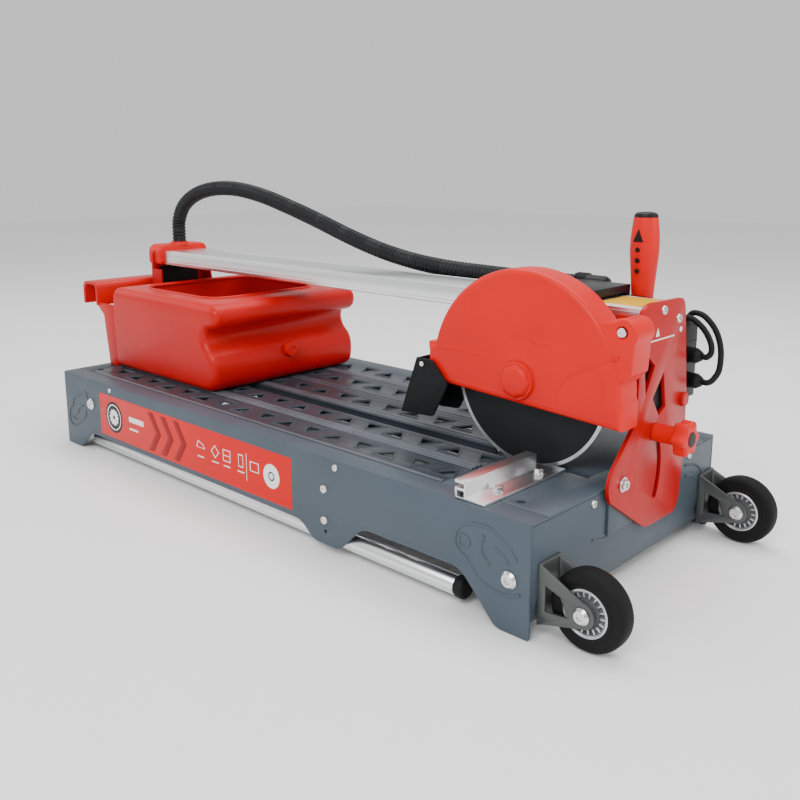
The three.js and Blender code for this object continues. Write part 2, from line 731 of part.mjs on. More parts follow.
// ---- tank ---------------------------------------------------------------------------
function tankOutline() {
  const floor = DECK_HEIGHT + GAP;
  const [left, right] = TANK_X;
  const outline = new THREE.Shape();
  outline.moveTo(left + 4, floor);
  outline.lineTo(right - 30, floor);
  outline.quadraticCurveTo(right - 8, floor, right - 4, 136);
  outline.quadraticCurveTo(right, 162, right - 12, 176);
  outline.quadraticCurveTo(right - 36, 194, right - 22, 211);
  outline.quadraticCurveTo(right + 6, 212, right + 4, 232);
  outline.quadraticCurveTo(right + 4, 246, right - 14, TANK_TOP - 1);
  outline.lineTo(left + 20, TANK_TOP);
  outline.quadraticCurveTo(left, TANK_TOP, left, TANK_TOP - 22);
  outline.closePath();
  return outline;
}

function tank() {
  const [left, right] = TANK_X;
  const [near, far] = TANK_Y;
  const floor = DECK_HEIGHT + GAP;
  const rim = 36;
  const basin = new THREE.Shape();
  const x0 = left + rim;
  const x1 = right - rim - 14;
  const y0 = near + rim;
  const y1 = far - rim;
  const corner = 24;
  basin.moveTo(x0 + corner, y0);
  basin.lineTo(x1 - corner, y0);
  basin.quadraticCurveTo(x1, y0, x1, y0 + corner);
  basin.lineTo(x1, y1 - corner);
  basin.quadraticCurveTo(x1, y1, x1 - corner, y1);
  basin.lineTo(x0 + corner, y1);
  basin.quadraticCurveTo(x0, y1, x0, y1 - corner);
  basin.lineTo(x0, y0 + corner);
  basin.quadraticCurveTo(x0, y0, x0 + corner, y0);
  const basinFloor = floor + 14;
  const cavity = extrude(basin, TANK_TOP + 5 - basinFloor, 0, 4).translate(0, 0, basinFloor);
  const sideWeb = outlineShape([
    [left + 8, floor], [-902, floor], [-914, 200], [-934, 215], [-934, 219], [left + 8, 219],
  ]);
  const lip = new THREE.Shape();
  lip.moveTo(OVERALL_MIN_X, 214);
  lip.lineTo(-969, 214);
  lip.lineTo(-969, 236);
  lip.quadraticCurveTo(-968, 247, -958, 247);
  lip.lineTo(-940, 247);
  lip.quadraticCurveTo(-934, 246, -934, 238);
  lip.lineTo(-934, 214);
  lip.lineTo(-928, 214);
  lip.lineTo(-928, 243);
  lip.quadraticCurveTo(-929, 252, -938, 252);
  lip.lineTo(-962, 252);
  lip.quadraticCurveTo(OVERALL_MIN_X, 252, OVERALL_MIN_X, 240);
  lip.closePath();
  const body = plateAcrossY(tankOutline(), TANK_Y, 12, 4);
  const plugHole = turnAlongX(rod(9.4, -660, -580), [0, 216, 166], 16);
  return cut(
    join(body, plateAcrossY(sideWeb, [near + 2, near + 6]), plateAcrossY(lip, [near, 232], 0, 4)),
    cavity,
    plugHole,
  );
}

function tankPlug() {
  const profile = [[0, -646], [9, -646], [9, -603], [12, -603], [12, -596], [0, -596]];
  return turnAlongX(profile, [0, 216, 166], 16);
}

// ---- assembly -----------------------------------------------------------------------
function addBase() {
  addPart('near_side_panel', sidePanel(1), greyPaint);
  addPart('far_side_panel', sidePanel(-1), greyPaint);
  addPart('right_end_panel', endPanel(), greyPaint);
  addPart('left_end_panel', mirrored(endPanel()), greyPaint);
  addPart('right_deck_plate', rightDeckPlate(), greyPaint);
  addPart('left_deck_plate', leftDeckPlate(), greyPaint);
  addPart('near_deck_plank', deckPlank([DECK_Y[0] + GAP, BLADE_SLOT[0]]), greyPaint);
  addPart('middle_deck_plank', deckPlank([BLADE_SLOT[1], PLANK_SEAM_Y - GAP]), greyPaint);
  addPart('far_deck_plank', deckPlank([PLANK_SEAM_Y + GAP, DECK_Y[1] - GAP]), greyPaint);
  addPart('fence_rail', fenceRail(), aluminium);
  addPart('near_fence_bolt', fenceBolt(41), steel);
  addPart('far_fence_bolt', fenceBolt(113), steel);
  addPart('right_pivot_stand', pivotStand(), darkPaint);
  addPart('left_pivot_stand', mirrored(pivotStand()), darkPaint);
  addPart('right_pivot_bolt', pivotBolt(), steel);
  addPart('left_pivot_bolt', mirrored(pivotBolt()), steel);
  addPart('left_leg_rod', legRod(LEFT_LEG_PIVOT), steel);
  addPart('right_leg_rod', legRod(RIGHT_LEG_PIVOT), steel);
}

function addWheels() {
  for (const [side, middle] of [['near', NEAR_WHEEL_Y], ['far', FAR_WHEEL_Y]]) {
    addPart(`${side}_wheel_fork`, wheelFork(middle), hubPlastic);
    addPart(`${side}_wheel_axle`, wheelAxle(middle), steel);
    addPart(`${side}_tyre`, tyre(middle), blackRubber);
    addPart(`${side}_wheel_hub`, wheelHub(middle), hubPlastic);
  }
}

function addLegs() {
  addPart('left_leg_frame', leftLegFrame(), aluminium);
  addPart('right_leg_frame', rightLegFrame(), aluminium);
  const footX = { left: LEFT_LEG_X[1] + GAP + 12, right: RIGHT_LEG_X[0] - GAP };
  for (const [index, side] of ['near', 'far'].entries()) {
    addPart(`left_leg_${side}_foot`, legFoot(footX.left, LEFT_LEG_TUBES[index], LEFT_LEG_Z), blackRubber);
    addPart(`right_leg_${side}_foot`, legFoot(footX.right, RIGHT_LEG_TUBES[index], RIGHT_LEG_PIVOT[1]),
      blackRubber);
  }
}

function addBridge() {
  addPart('guide_rail', guideRail(), aluminium);
  addPart('right_tower', tower(292), redPaint);
  addPart('left_tower', mirrored(tower(268)), redPaint);
  addPart('left_rail_cap', leftRailCap(), redPlastic);
  addPart('right_clamp_knob', clampKnob(), redPlastic);
  addPart('left_clamp_knob', mirrored(clampKnob()), redPlastic);
}

function addCarriage() {
  addPart('carriage_housing', carriageHousing(), darkPaint);
  addPart('left_roller', roller(ROLLERS_X[0]), steel);
  addPart('right_roller', roller(ROLLERS_X[1]), steel);
  addPart('motor_housing', motorHousing(), motorGrey);
  addPart('motor_fan_cover', motorFanCover(), blackPlastic);
  addPart('motor_rotor', motorRotor(), steel);
  addPart('saw_blade', sawBlade(), steel);
  addPart('blade_flange', bladeFlange(), steel);
  addPart('guard_shell', guardShell(), redPlastic);
  addPart('guard_bolt', guardBolt(), steel);
  addPart('splash_flap', splashFlap(), blackRubber);
  addPart('switch_box', switchBox(), blackPlastic);
  addPart('rocker_switch', rockerSwitch(), redPlastic);
  addPart('upper_gland', gland(...UPPER_GLAND), blackPlastic);
  addPart('lower_gland', gland(...LOWER_GLAND), blackPlastic);
  addPart('upper_cable', tubeAlong(upperCableRoute, 3.5, 8, 14), blackRubber);
  addPart('lower_cable', tubeAlong(lowerCableRoute, 3.5, 8, 16), blackRubber);
  addPart('handle_grip', handleGrip(), redPlastic);
  addPart('hose_gland', hoseGland(), blackPlastic);
  addPart('hose', tubeAlong(hoseRoute, HOSE_RADIUS, 8, 40), blackPlastic);
}

function addTank() {
  addPart('water_tank', tank(), redPlastic);
  addPart('drain_plug', tankPlug(), redPlastic);
}

addBase();
addWheels();
addLegs();
addBridge();
addCarriage();
addTank();

export default saw;
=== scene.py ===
from math import atan2, cos, pi, radians, sin

import bmesh
import bpy
from mathutils import Matrix, Vector


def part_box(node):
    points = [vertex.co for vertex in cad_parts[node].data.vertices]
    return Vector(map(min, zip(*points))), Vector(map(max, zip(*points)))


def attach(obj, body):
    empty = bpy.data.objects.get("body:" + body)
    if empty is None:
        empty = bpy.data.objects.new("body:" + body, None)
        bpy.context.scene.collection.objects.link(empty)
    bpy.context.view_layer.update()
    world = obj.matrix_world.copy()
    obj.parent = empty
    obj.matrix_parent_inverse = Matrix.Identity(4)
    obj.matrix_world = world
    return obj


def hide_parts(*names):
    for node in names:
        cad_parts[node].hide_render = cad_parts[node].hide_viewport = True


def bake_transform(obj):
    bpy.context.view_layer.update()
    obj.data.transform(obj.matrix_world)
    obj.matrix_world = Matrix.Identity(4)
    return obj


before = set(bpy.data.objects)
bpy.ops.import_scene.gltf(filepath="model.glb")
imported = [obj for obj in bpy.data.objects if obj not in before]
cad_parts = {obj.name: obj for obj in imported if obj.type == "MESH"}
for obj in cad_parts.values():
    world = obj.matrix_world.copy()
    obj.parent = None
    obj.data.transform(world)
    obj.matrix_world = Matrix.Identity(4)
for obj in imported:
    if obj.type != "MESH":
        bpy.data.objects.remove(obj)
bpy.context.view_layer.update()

# Saw frame: millimetres, x from the wheel end of the base (0) towards the tank (negative),
# y from the near long side (0) to the far side, z above the floor.
PANEL_LOW, PANEL_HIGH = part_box("near_side_panel")
ORIGIN = Vector((PANEL_HIGH.x, PANEL_LOW.y, 0.0))
MM = 0.001
UNITS = Matrix.Identity(3)


def at(x, y, z):
    """A point of the saw frame, in metres in the row frame."""
    return ORIGIN + Vector((x, y, z)) * MM


def new_object(name, data):
    """A new object, linked into the scene."""
    made = bpy.data.objects.new(name, data)
    bpy.context.scene.collection.objects.link(made)
    return made


# ---- camera and light -----------------------------------------------------------------
def add_camera():
    data = bpy.data.cameras.new("camera")
    data.lens = 40.05
    data.sensor_width = 36
    data.shift_y = -0.075
    data.clip_start = 0.05
    camera = new_object("camera", data)
    camera.location = (0.88464, -0.83841, 0.44566)
    camera.rotation_euler = (radians(90 - 11.22), 0, radians(43.33))
    bpy.context.scene.camera = camera


def add_area_light(name, place, target, size, power):
    data = bpy.data.lights.new(name, "AREA")
    data.shape = "RECTANGLE"
    data.size, data.size_y = size
    data.energy = power
    light = new_object(name, data)
    light.location = place
    light.rotation_euler = (Vector(target) - Vector(place)).to_track_quat("-Z", "Y").to_euler()


def add_studio():
    world = bpy.data.worlds.new("studio")
    world.use_nodes = True
    background = world.node_tree.nodes["Background"]
    background.inputs["Color"].default_value = (1.0, 1.0, 1.0, 1.0)
    background.inputs["Strength"].default_value = 0.8
    bpy.context.scene.world = world
    add_area_light("key", (0.9, -1.9, 1.9), (0, 0, 0.15), (1.6, 1.2), 46)
    add_area_light("fill", (-2.0, -1.2, 1.2), (0, 0, 0.2), (1.8, 1.2), 10)
    add_area_light("top", (0.0, 0.5, 2.2), (0, 0, 0.1), (2.2, 1.4), 40)
    add_area_light("side", (2.2, 0.6, 1.0), (0.3, 0, 0.2), (1.2, 1.4), 14)
    floor_mesh = bpy.data.meshes.new("floor")
    reach = 6.0
    floor_mesh.from_pydata(
        [(-reach, -reach, 0), (reach, -reach, 0), (reach, reach, 0), (-reach, reach, 0)],
        [], [(0, 1, 2, 3)],
    )
    floor = new_object("floor", floor_mesh)
    floor.location.z = -0.0005
    floor_mesh.materials.append(PALE_FLOOR)


# ---- materials ------------------------------------------------------------------------
def new_material(name, color, roughness, metallic=0.0, coat=0.0):
    made = bpy.data.materials.new(name)
    made.use_nodes = True
    shader = made.node_tree.nodes["Principled BSDF"]
    shader.inputs["Base Color"].default_value = (*color, 1.0)
    shader.inputs["Roughness"].default_value = roughness
    shader.inputs["Specular IOR Level"].default_value = 0.5 if metallic > 0.5 else 0.22
    shader.inputs["Metallic"].default_value = metallic
    shader.inputs["Coat Weight"].default_value = coat
    shader.inputs["Coat Roughness"].default_value = 0.12
    return made


def noise_field(tree, scale, stretch=(1, 1, 1), detail=3.0):
    coords = tree.nodes.new("ShaderNodeTexCoord")
    mapping = tree.nodes.new("ShaderNodeMapping")
    mapping.inputs["Scale"].default_value = stretch
    noise = tree.nodes.new("ShaderNodeTexNoise")
    noise.inputs["Scale"].default_value = scale
    noise.inputs["Detail"].default_value = detail
    tree.links.new(coords.outputs["Object"], mapping.inputs["Vector"])
    tree.links.new(mapping.outputs["Vector"], noise.inputs["Vector"])
    return noise.outputs["Fac"]


def ramp_between(tree, field, low, high, start=0.35, end=0.65):
    ramp = tree.nodes.new("ShaderNodeValToRGB")
    ramp.color_ramp.elements[0].position = start
    ramp.color_ramp.elements[0].color = (*low, 1.0)
    ramp.color_ramp.elements[1].position = end
    ramp.color_ramp.elements[1].color = (*high, 1.0)
    tree.links.new(field, ramp.inputs["Fac"])
    return ramp.outputs["Color"]


def textured(name, color, roughness, metallic=0.0, coat=0.0, tone=0.06, rough_swing=0.08,
             grain=900.0, bump=0.12, bump_depth=0.00012, stretch=(1, 1, 1), patch=18.0):
    """A finish with patches of tone, uneven gloss and a fine surface grain."""
    made = new_material(name, color, roughness, metallic, coat)
    tree = made.node_tree
    shader = tree.nodes["Principled BSDF"]
    patches = noise_field(tree, patch, stretch, 4.0)
    dark = tuple(c * (1 - tone) for c in color)
    light = tuple(min(1.0, c * (1 + tone)) for c in color)
    tree.links.new(ramp_between(tree, patches, dark, light), shader.inputs["Base Color"])
    sheen = noise_field(tree, patch * 4, stretch, 5.0)
    swing = tree.nodes.new("ShaderNodeMapRange")
    swing.inputs["To Min"].default_value = max(0.02, roughness - rough_swing)
    swing.inputs["To Max"].default_value = min(1.0, roughness + rough_swing)
    tree.links.new(sheen, swing.inputs["Value"])
    tree.links.new(swing.outputs["Result"], shader.inputs["Roughness"])
    fine = noise_field(tree, grain, stretch, 2.0)
    relief = tree.nodes.new("ShaderNodeBump")
    relief.inputs["Strength"].default_value = bump
    relief.inputs["Distance"].default_value = bump_depth
    tree.links.new(fine, relief.inputs["Height"])
    tree.links.new(relief.outputs["Normal"], shader.inputs["Normal"])
    return made


PALE_FLOOR = textured("pale_floor", (0.93, 0.93, 0.93), 0.75, tone=0.004, bump=0.02)
BASE_PAINT = textured("base_paint", (0.062, 0.082, 0.102), 0.42, 0.0, tone=0.05, grain=1400, bump=0.22)
DECK_PAINT = textured("deck_paint", (0.040, 0.050, 0.062), 0.34, 0.15, tone=0.08, grain=1100, bump=0.2)
# Deck ridges: a lighter, glossier colour than the deck paint, a painted highlight along the raised ridges
RIDGE_PAINTED_HIGHLIGHT = textured("ridge_painted_highlight", (0.11, 0.125, 0.145), 0.3, 0.3, tone=0.12, grain=1100, bump=0.2)
RED_PAINT = textured("red_paint", (0.44, 0.0008, 0.0010), 0.34, tone=0.04, coat=0.05, grain=700, bump=0.1)
RED_PLASTIC = textured("red_plastic", (0.66, 0.003, 0.002), 0.4, tone=0.04, grain=1600, bump=0.14)
TANK_PLASTIC = textured("tank_plastic", (0.52, 0.001, 0.001), 0.36, tone=0.06, grain=650,
                        bump=0.2, patch=9.0)
ALUMINIUM = textured("aluminium", (0.80, 0.81, 0.82), 0.3, 1.0, tone=0.03, grain=500, bump=0.12,
                     stretch=(0.03, 1, 1))
ALUMINIUM_Y = textured("aluminium_across", (0.72, 0.73, 0.74), 0.32, 1.0, tone=0.04, grain=500, bump=0.14,
                       stretch=(1, 0.03, 1))
STEEL = textured("zinc_steel", (0.70, 0.70, 0.70), 0.26, 1.0, tone=0.08, grain=1200, bump=0.1)
BLADE_BODY = textured("blade_body", (0.018, 0.02, 0.021), 0.48, 0.4, tone=0.1, grain=900, bump=0.14)
BLADE_RIM = textured("blade_rim", (0.72, 0.73, 0.74), 0.38, 1.0, tone=0.08, grain=2200, bump=0.4)
DARK_PAINT = textured("dark_paint", (0.011, 0.012, 0.014), 0.4, 0.2, tone=0.08, grain=1000, bump=0.2)
FORK_METAL = textured("fork_metal", (0.085, 0.092, 0.09), 0.38, 0.45, tone=0.06, grain=1100, bump=0.2)
HUB_PLASTIC = textured("hub_plastic", (0.10, 0.105, 0.11), 0.42, tone=0.05, grain=1300, bump=0.16)
HUB_RIM = textured("hub_rim", (0.52, 0.54, 0.55), 0.34, 0.7, tone=0.06, grain=1300, bump=0.16)
TYRE_RUBBER = textured("tyre_rubber", (0.0035, 0.0035, 0.004), 0.7, tone=0.15, grain=1300, bump=0.35)
BLACK_RUBBER = textured("black_rubber", (0.005, 0.0055, 0.006), 0.6, tone=0.12, grain=1500, bump=0.3)
BLACK_PLASTIC = textured("black_plastic", (0.006, 0.0065, 0.007), 0.45, tone=0.1, grain=2200, bump=0.25)
HOSE_PLASTIC = textured("hose_plastic", (0.008, 0.009, 0.010), 0.42, tone=0.12, grain=1500, bump=0.15)
YELLOW_LABEL = textured("yellow_label", (0.66, 0.36, 0.001), 0.5, tone=0.02, grain=1500, bump=0.05)
WHITE_PRINT = textured("white_print", (0.86, 0.86, 0.86), 0.45, tone=0.01, grain=1500, bump=0.04)
RED_PRINT = textured("red_print", (0.62, 0.0015, 0.0015), 0.4, tone=0.02, grain=1800, bump=0.05)
DEEP_PRINT = textured("deep_red_print", (0.27, 0.001, 0.001), 0.45, tone=0.02, grain=1800, bump=0.05)
DARK_PRINT = textured("dark_print", (0.022, 0.02, 0.02), 0.45, tone=0.04, grain=1800, bump=0.05)


# ---- making pieces --------------------------------------------------------------------
def smooth(mesh, sharp=35.0):
    """Smooth shading, with the edges steeper than an angle kept sharp."""
    mesh.shade_smooth()
    mesh.set_sharp_from_angle(angle=radians(sharp))


def link(name, mesh, finish, sharp=35.0):
    """A piece with one finish."""
    mesh.materials.clear()
    mesh.materials.append(finish)
    smooth(mesh, sharp)
    return new_object(name, mesh)


def mesh_from(made, name):
    mesh = bpy.data.meshes.new(name)
    made.to_mesh(mesh)
    made.free()
    return mesh


def put(piece, body, slot, *nodes):
    """The piece rides on a body, and may stand for CAD nodes; its slot is not used."""
    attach(piece, body)
    if nodes:
        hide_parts(*nodes)
    return piece


def joined(name, pieces):
    """One object from several, keeping each one's finish."""
    made = bmesh.new()
    finishes = []
    for piece in pieces:
        start = len(made.faces)
        made.from_mesh(piece.data)
        made.faces.ensure_lookup_table()
        own = piece.data.materials[0]
        if own not in finishes:
            finishes.append(own)
        for face in made.faces[start:]:
            face.material_index = finishes.index(own)
    mesh = mesh_from(made, name)
    for piece in pieces:
        bpy.data.objects.remove(piece)
    for own in finishes:
        mesh.materials.append(own)
    smooth(mesh)
    return new_object(name, mesh)


def lathe(name, profile, centre, axis, finish, segments=64, closed=False, sign=1):
    """Profile points are (radius, distance along the axis times sign) in mm, turned about an axis."""
    first = "xyz".index(axis)
    along, side, up = (UNITS[(first + turn) % 3] for turn in range(3))
    made = bmesh.new()
    rings = []
    for radius, distance in profile:
        middle = Vector(centre) + along * (distance * sign)
        if radius < 1e-6:
            rings.append([made.verts.new(at(*middle))])
            continue
        ring = []
        for step in range(segments):
            turn = 2 * pi * step / segments
            spot = middle + (side * cos(turn) + up * sin(turn)) * radius
            ring.append(made.verts.new(at(*spot)))
        rings.append(ring)
    pairs = list(zip(rings, rings[1:]))
    if closed:
        pairs.append((rings[-1], rings[0]))
    for low, high in pairs:
        for step in range(segments):
            after = (step + 1) % segments
            corners = [low[step % len(low)], low[after % len(low)],
                       high[after % len(high)], high[step % len(high)]]
            unique = list(dict.fromkeys(corners))
            if len(unique) > 2:
                made.faces.new(unique)
    bmesh.ops.recalc_face_normals(made, faces=made.faces)
    return link(name, mesh_from(made, name), finish)


def turned(node, profile, centre, axis, finish, body, slot, segments=40, closed=False, sign=1):
    """A turned piece that stands for a CAD node."""
    piece = lathe(node + "_fine", profile, centre, axis, finish, segments, closed, sign)
    put(piece, body, slot, node)


def fillet(points, radius, steps=5):
    """The outline with its corners rounded; radius is one number or one for each corner."""
    rounded = []
    count = len(points)
    for index, corner in enumerate(points):
        size = radius[index] if isinstance(radius, (list, tuple)) else radius
        corner = Vector(corner)
        before = Vector(points[index - 1]) - corner
        after = Vector(points[(index + 1) % count]) - corner
        reach = min(size, before.length * 0.45, after.length * 0.45)
        if reach < 0.05:
            rounded.append(tuple(corner))
            continue
        start = corner + before.normalized() * reach
        end = corner + after.normalized() * reach
        for step in range(steps + 1):
            t = step / steps
            spot = start * (1 - t) ** 2 + corner * 2 * t * (1 - t) + end * t ** 2
            rounded.append(tuple(spot))
    return rounded


def arc(centre, radius, start, end, steps):
    """Points on an arc, angles in degrees."""
    return [(centre[0] + radius * cos(radians(start + (end - start) * i / steps)),
             centre[1] + radius * sin(radians(start + (end - start) * i / steps)))
            for i in range(steps + 1)]


def mesh_of(curve_object, name):
    """The curve as a mesh, in place of the curve."""
    graph = bpy.context.evaluated_depsgraph_get()
    mesh = bpy.data.meshes.new_from_object(curve_object.evaluated_get(graph))
    mesh.name = name
    bpy.data.objects.remove(curve_object)
    made = bmesh.new()
    made.from_mesh(mesh)
    bmesh.ops.remove_doubles(made, verts=made.verts, dist=1e-6)
    bmesh.ops.dissolve_degenerate(made, dist=1e-7, edges=made.edges)
    bmesh.ops.recalc_face_normals(made, faces=made.faces)
    made.to_mesh(mesh)
    made.free()
    return mesh


def add_loop(data, points, closed=True):
    """A polyline through points in metres, on a curve."""
    spline = data.splines.new("POLY")
    spline.points.add(len(points) - 1)
    for point, spot in zip(spline.points, points):
        point.co = (*spot, 1)
    spline.use_cyclic_u = closed


PLANES = {
    "x": Matrix(((0, 0, 1), (1, 0, 0), (0, 1, 0))).to_4x4(),
    "y": Matrix(((1, 0, 0), (0, 0, -1), (0, 1, 0))).to_4x4(),
    "z": Matrix.Identity(4),
}


def plate(name, outline, holes, plane, span, bevel, finish, rounds=2, sharp=35.0):
    """A sheet with rounded edges. Its outline lies in (y, z), (x, z) or (x, y), in mm."""
    low, high = span
    data = bpy.data.curves.new(name, "CURVE")
    data.dimensions = "2D"
    data.fill_mode = "BOTH"
    data.extrude = max((high - low) / 2 - bevel, 0.001) * MM
    data.bevel_depth = bevel * MM
    data.bevel_resolution = rounds
    data.offset = -bevel * MM
    for loop in [outline, *holes]:
        add_loop(data, [(u * MM, v * MM, 0) for u, v in loop])
    mesh = mesh_of(new_object(name, data), name)
    mesh.transform(PLANES[plane])
    shift = UNITS["xyz".index(plane)] * ((low + high) / 2 * MM)
    mesh.transform(Matrix.Translation(ORIGIN + shift))
    return link(name, mesh, finish, sharp)


def bead(name, points, radius, finish, closed=False, sides=2, squash=None):
    """A round bead along points of the saw frame, in mm. Squash is the axis, level and share kept."""
    data = bpy.data.curves.new(name, "CURVE")
    data.dimensions = "3D"
    data.bevel_depth = radius * MM
    data.bevel_resolution = sides
    data.use_fill_caps = not closed
    add_loop(data, [at(*spot) for spot in points], closed)
    mesh = mesh_of(new_object(name, data), name)
    if squash:
        axis, height, keep = squash
        level = at(height, height, height)[axis]
        for vertex in mesh.vertices:
            vertex.co[axis] = level + (vertex.co[axis] - level) * keep
    return link(name, mesh, finish)


def catmull(points, step):
    """Evenly close points on a smooth curve through the given ones, in their own unit."""
    spots = [Vector(p) for p in points]
    spots = [spots[0] * 2 - spots[1], *spots, spots[-1] * 2 - spots[-2]]
    dense = []
    for i in range(1, len(spots) - 2):
        a, b, c, d = spots[i - 1:i + 3]
        pieces = max(2, int((c - b).length / step * 4))
        for j in range(pieces):
            t = j / pieces
            dense.append(0.5 * (2 * b + (c - a) * t + (2 * a - 5 * b + 4 * c - d) * t * t
                                + (3 * b - a - 3 * c + d) * t ** 3))
    dense.append(spots[-2])
    even = [dense[0]]
    for spot in dense[1:]:
        if (spot - even[-1]).length >= step:
            even.append(spot)
    if (dense[-1] - even[-1]).length < step * 0.5:
        even.pop()
    even.append(dense[-1])
    return even


def tube(name, path, radius_at, finish, sides=20):
    """A tube along row-frame points; radius_at gives its radius in metres for each point."""
    made = bmesh.new()
    rings = []
    normal = None
    for index, spot in enumerate(path):
        ahead = path[min(index + 1, len(path) - 1)] - path[max(index - 1, 0)]
        ahead.normalize()
        if normal is None:
            normal = ahead.orthogonal().normalized()
        normal = (normal - ahead * normal.dot(ahead)).normalized()
        other = ahead.cross(normal)
        radius = radius_at(index)
        rings.append([made.verts.new(spot + (normal * cos(2 * pi * s / sides)
                                             + other * sin(2 * pi * s / sides)) * radius)
                      for s in range(sides)])
    for low, high in zip(rings, rings[1:]):
        for s in range(sides):
            made.faces.new((low[s], low[(s + 1) % sides], high[(s + 1) % sides], high[s]))
    made.faces.new(rings[0][::-1])
    made.faces.new(rings[-1])
    bmesh.ops.recalc_face_normals(made, faces=made.faces)
    return link(name, mesh_from(made, name), finish, 60)


def refine(node, finish, body, slot, bevel=0.5, rounds=2):
    """A CAD node's own shape with its edges broken stands for the node."""
    made = bmesh.new()
    made.from_mesh(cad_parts[node].data)
    bmesh.ops.remove_doubles(made, verts=made.verts, dist=1e-6)
    bmesh.ops.dissolve_limit(made, angle_limit=radians(1), verts=made.verts, edges=made.edges,
                             delimit={"NORMAL"})
    piece = link(node + "_fine", mesh_from(made, node + "_shape"), finish)
    rounding = piece.modifiers.new("bevel", "BEVEL")
    rounding.width = bevel * MM
    rounding.segments = rounds
    rounding.limit_method = "ANGLE"
    rounding.angle_limit = radians(30)
    rounding.use_clamp_overlap = True
    rounding.miter_outer = "MITER_ARC"
    apply_modifiers(piece)
    put(piece, body, slot, node)


def apply_modifiers(piece):
    graph = bpy.context.evaluated_depsgraph_get()
    mesh = bpy.data.meshes.new_from_object(piece.evaluated_get(graph))
    piece.modifiers.clear()
    piece.data = mesh
    smooth(mesh)


def carve(piece, *tools):
    """Cuts the tools out of the piece and removes them."""
    for tool in tools:
        cutter = piece.modifiers.new("carve", "BOOLEAN")
        cutter.operation = "DIFFERENCE"
        cutter.solver = "EXACT"
        cutter.object = tool
        apply_modifiers(piece)
        bpy.data.objects.remove(tool)


def rectangle(u, v):
    """The corners of a rectangle, from its spans along and up."""
    return [(u[0], v[0]), (u[1], v[0]), (u[1], v[1]), (u[0], v[1])]


def block(name, x, y, z, finish, bevel=0.6, rounds=2):
    """A box with rounded edges."""
    return plate(name, fillet(rectangle(x, z), bevel, 3), [], "y", y, bevel, finish, rounds)


def screw(name, spot, axis, radius, height, finish, sign=1):
    """A domed screw head with a socket, standing on a surface along an axis."""
    profile = [(0, 0), (radius, 0), (radius, height * 0.45), (radius * 0.86, height * 0.85),
               (radius * 0.5, height), (radius * 0.42, height * 0.98), (radius * 0.38, height * 0.35),
               (0, height * 0.35)]
    return lathe(name, profile, spot, axis, finish, 28, sign=sign)


def hex_bolt(name, spot, axis, radius, height, finish):
    """A hexagon head on a round washer."""
    washer = [(0, 0), (radius * 1.25, 0), (radius * 1.25, height * 0.2), (0, height * 0.2)]
    head = [(0, height * 0.2), (radius, height * 0.2), (radius, height * 0.85), (radius * 0.82, height),
            (0, height)]
    return joined(name, [lathe(name + "_a", washer, spot, axis, finish, 32),
                         lathe(name + "_b", head, spot, axis, finish, 6)])


# ---- cords ----------------------------------------------------------------------------
HOSE_ROUTE = [
    (-914, 228, 313), (-914, 228, 328), (-913, 229, 350), (-898, 231, 375), (-865, 234, 394),
    (-820, 238, 404), (-765, 242, 405), (-705, 247, 396), (-645, 253, 380), (-585, 260, 361),
    (-525, 268, 340), (-465, 276, 322), (-405, 283, 310), (-345, 288, 304), (-285, 290, 302),
    (-215, 290, 301), (-175, 290, 301), (-145, 290, 301),
]
UPPER_CABLE_ROUTE = [
    (-23, 326, 262.8), (-23, 326, 266), (-18, 326, 270), (-8, 328, 268), (4, 331, 257), (12, 332, 243),
    (14, 331, 232), (10, 329, 226), (4.9, 329, 226),
]
LOWER_CABLE_ROUTE = [
    (-23, 346, 262.8), (-23, 346, 267), (-17, 346, 273), (-4, 347, 270), (10, 348, 255),
    (18, 347, 234), (20, 342, 211), (16, 336, 199), (11, 333, 195), (4.9, 333, 195),
]
HOSE_RADIUS = 0.012
HOSE_PITCH = 0.005
HOSE_GROOVE = 0.0017


def add_hose():
    step = HOSE_PITCH / 4
    path = catmull([at(*p) for p in HOSE_ROUTE], step)
    depth = (0.0, 0.25, 1.0, 0.25)

    def ribbed(index):
        return HOSE_RADIUS - HOSE_GROOVE * depth[index % 4]

    hose = tube("corrugated_hose", path, ribbed, HOSE_PLASTIC, 20)
    hose.data.set_sharp_from_angle(angle=radians(80))
    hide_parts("hose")
    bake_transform(hose)


def add_cable(name, route):
    radius = 0.0035
    path = catmull([at(*p) for p in route], 0.0015)
    cable = tube(name + "_lead", path, lambda index: radius, BLACK_RUBBER, 16)
    put(cable, "carriage", "black_rubber", name)


# ---- base -----------------------------------------------------------------------------
BASE_LENGTH = 912
BASE_WIDTH = 386
DECK_TOP = 118
END_X = {"right": 0, "left": -BASE_LENGTH}
OUTWARD = {"right": 1, "left": -1, "far": 1, "near": -1}
SIDE_OUTLINE = [
    (-912, 118), (-912, 0), (-869, 0), (-832, 30), (-331, 30), (-307, 11), (-263, 11), (-226, 48),
    (-86, 48), (-68, 30), (-40, 0), (0, 0), (0, 118),
]
SIDE_CORNERS = [0.5, 3, 8, 12, 12, 10, 10, 14, 12, 10, 8, 4, 0.5]


def circle(u, v, radius, steps=32):
    return arc((u, v), radius, 0, 360 * (steps - 1) / steps, steps - 1)


def stadium(start, end, radius, steps=12):
    """A round-ended bar's outline between two points."""
    lean = atan2(end[1] - start[1], end[0] - start[0]) * 180 / pi
    return (arc(end, radius, lean - 90, lean + 90, steps) + arc(start, radius, lean + 90, lean + 270, steps))


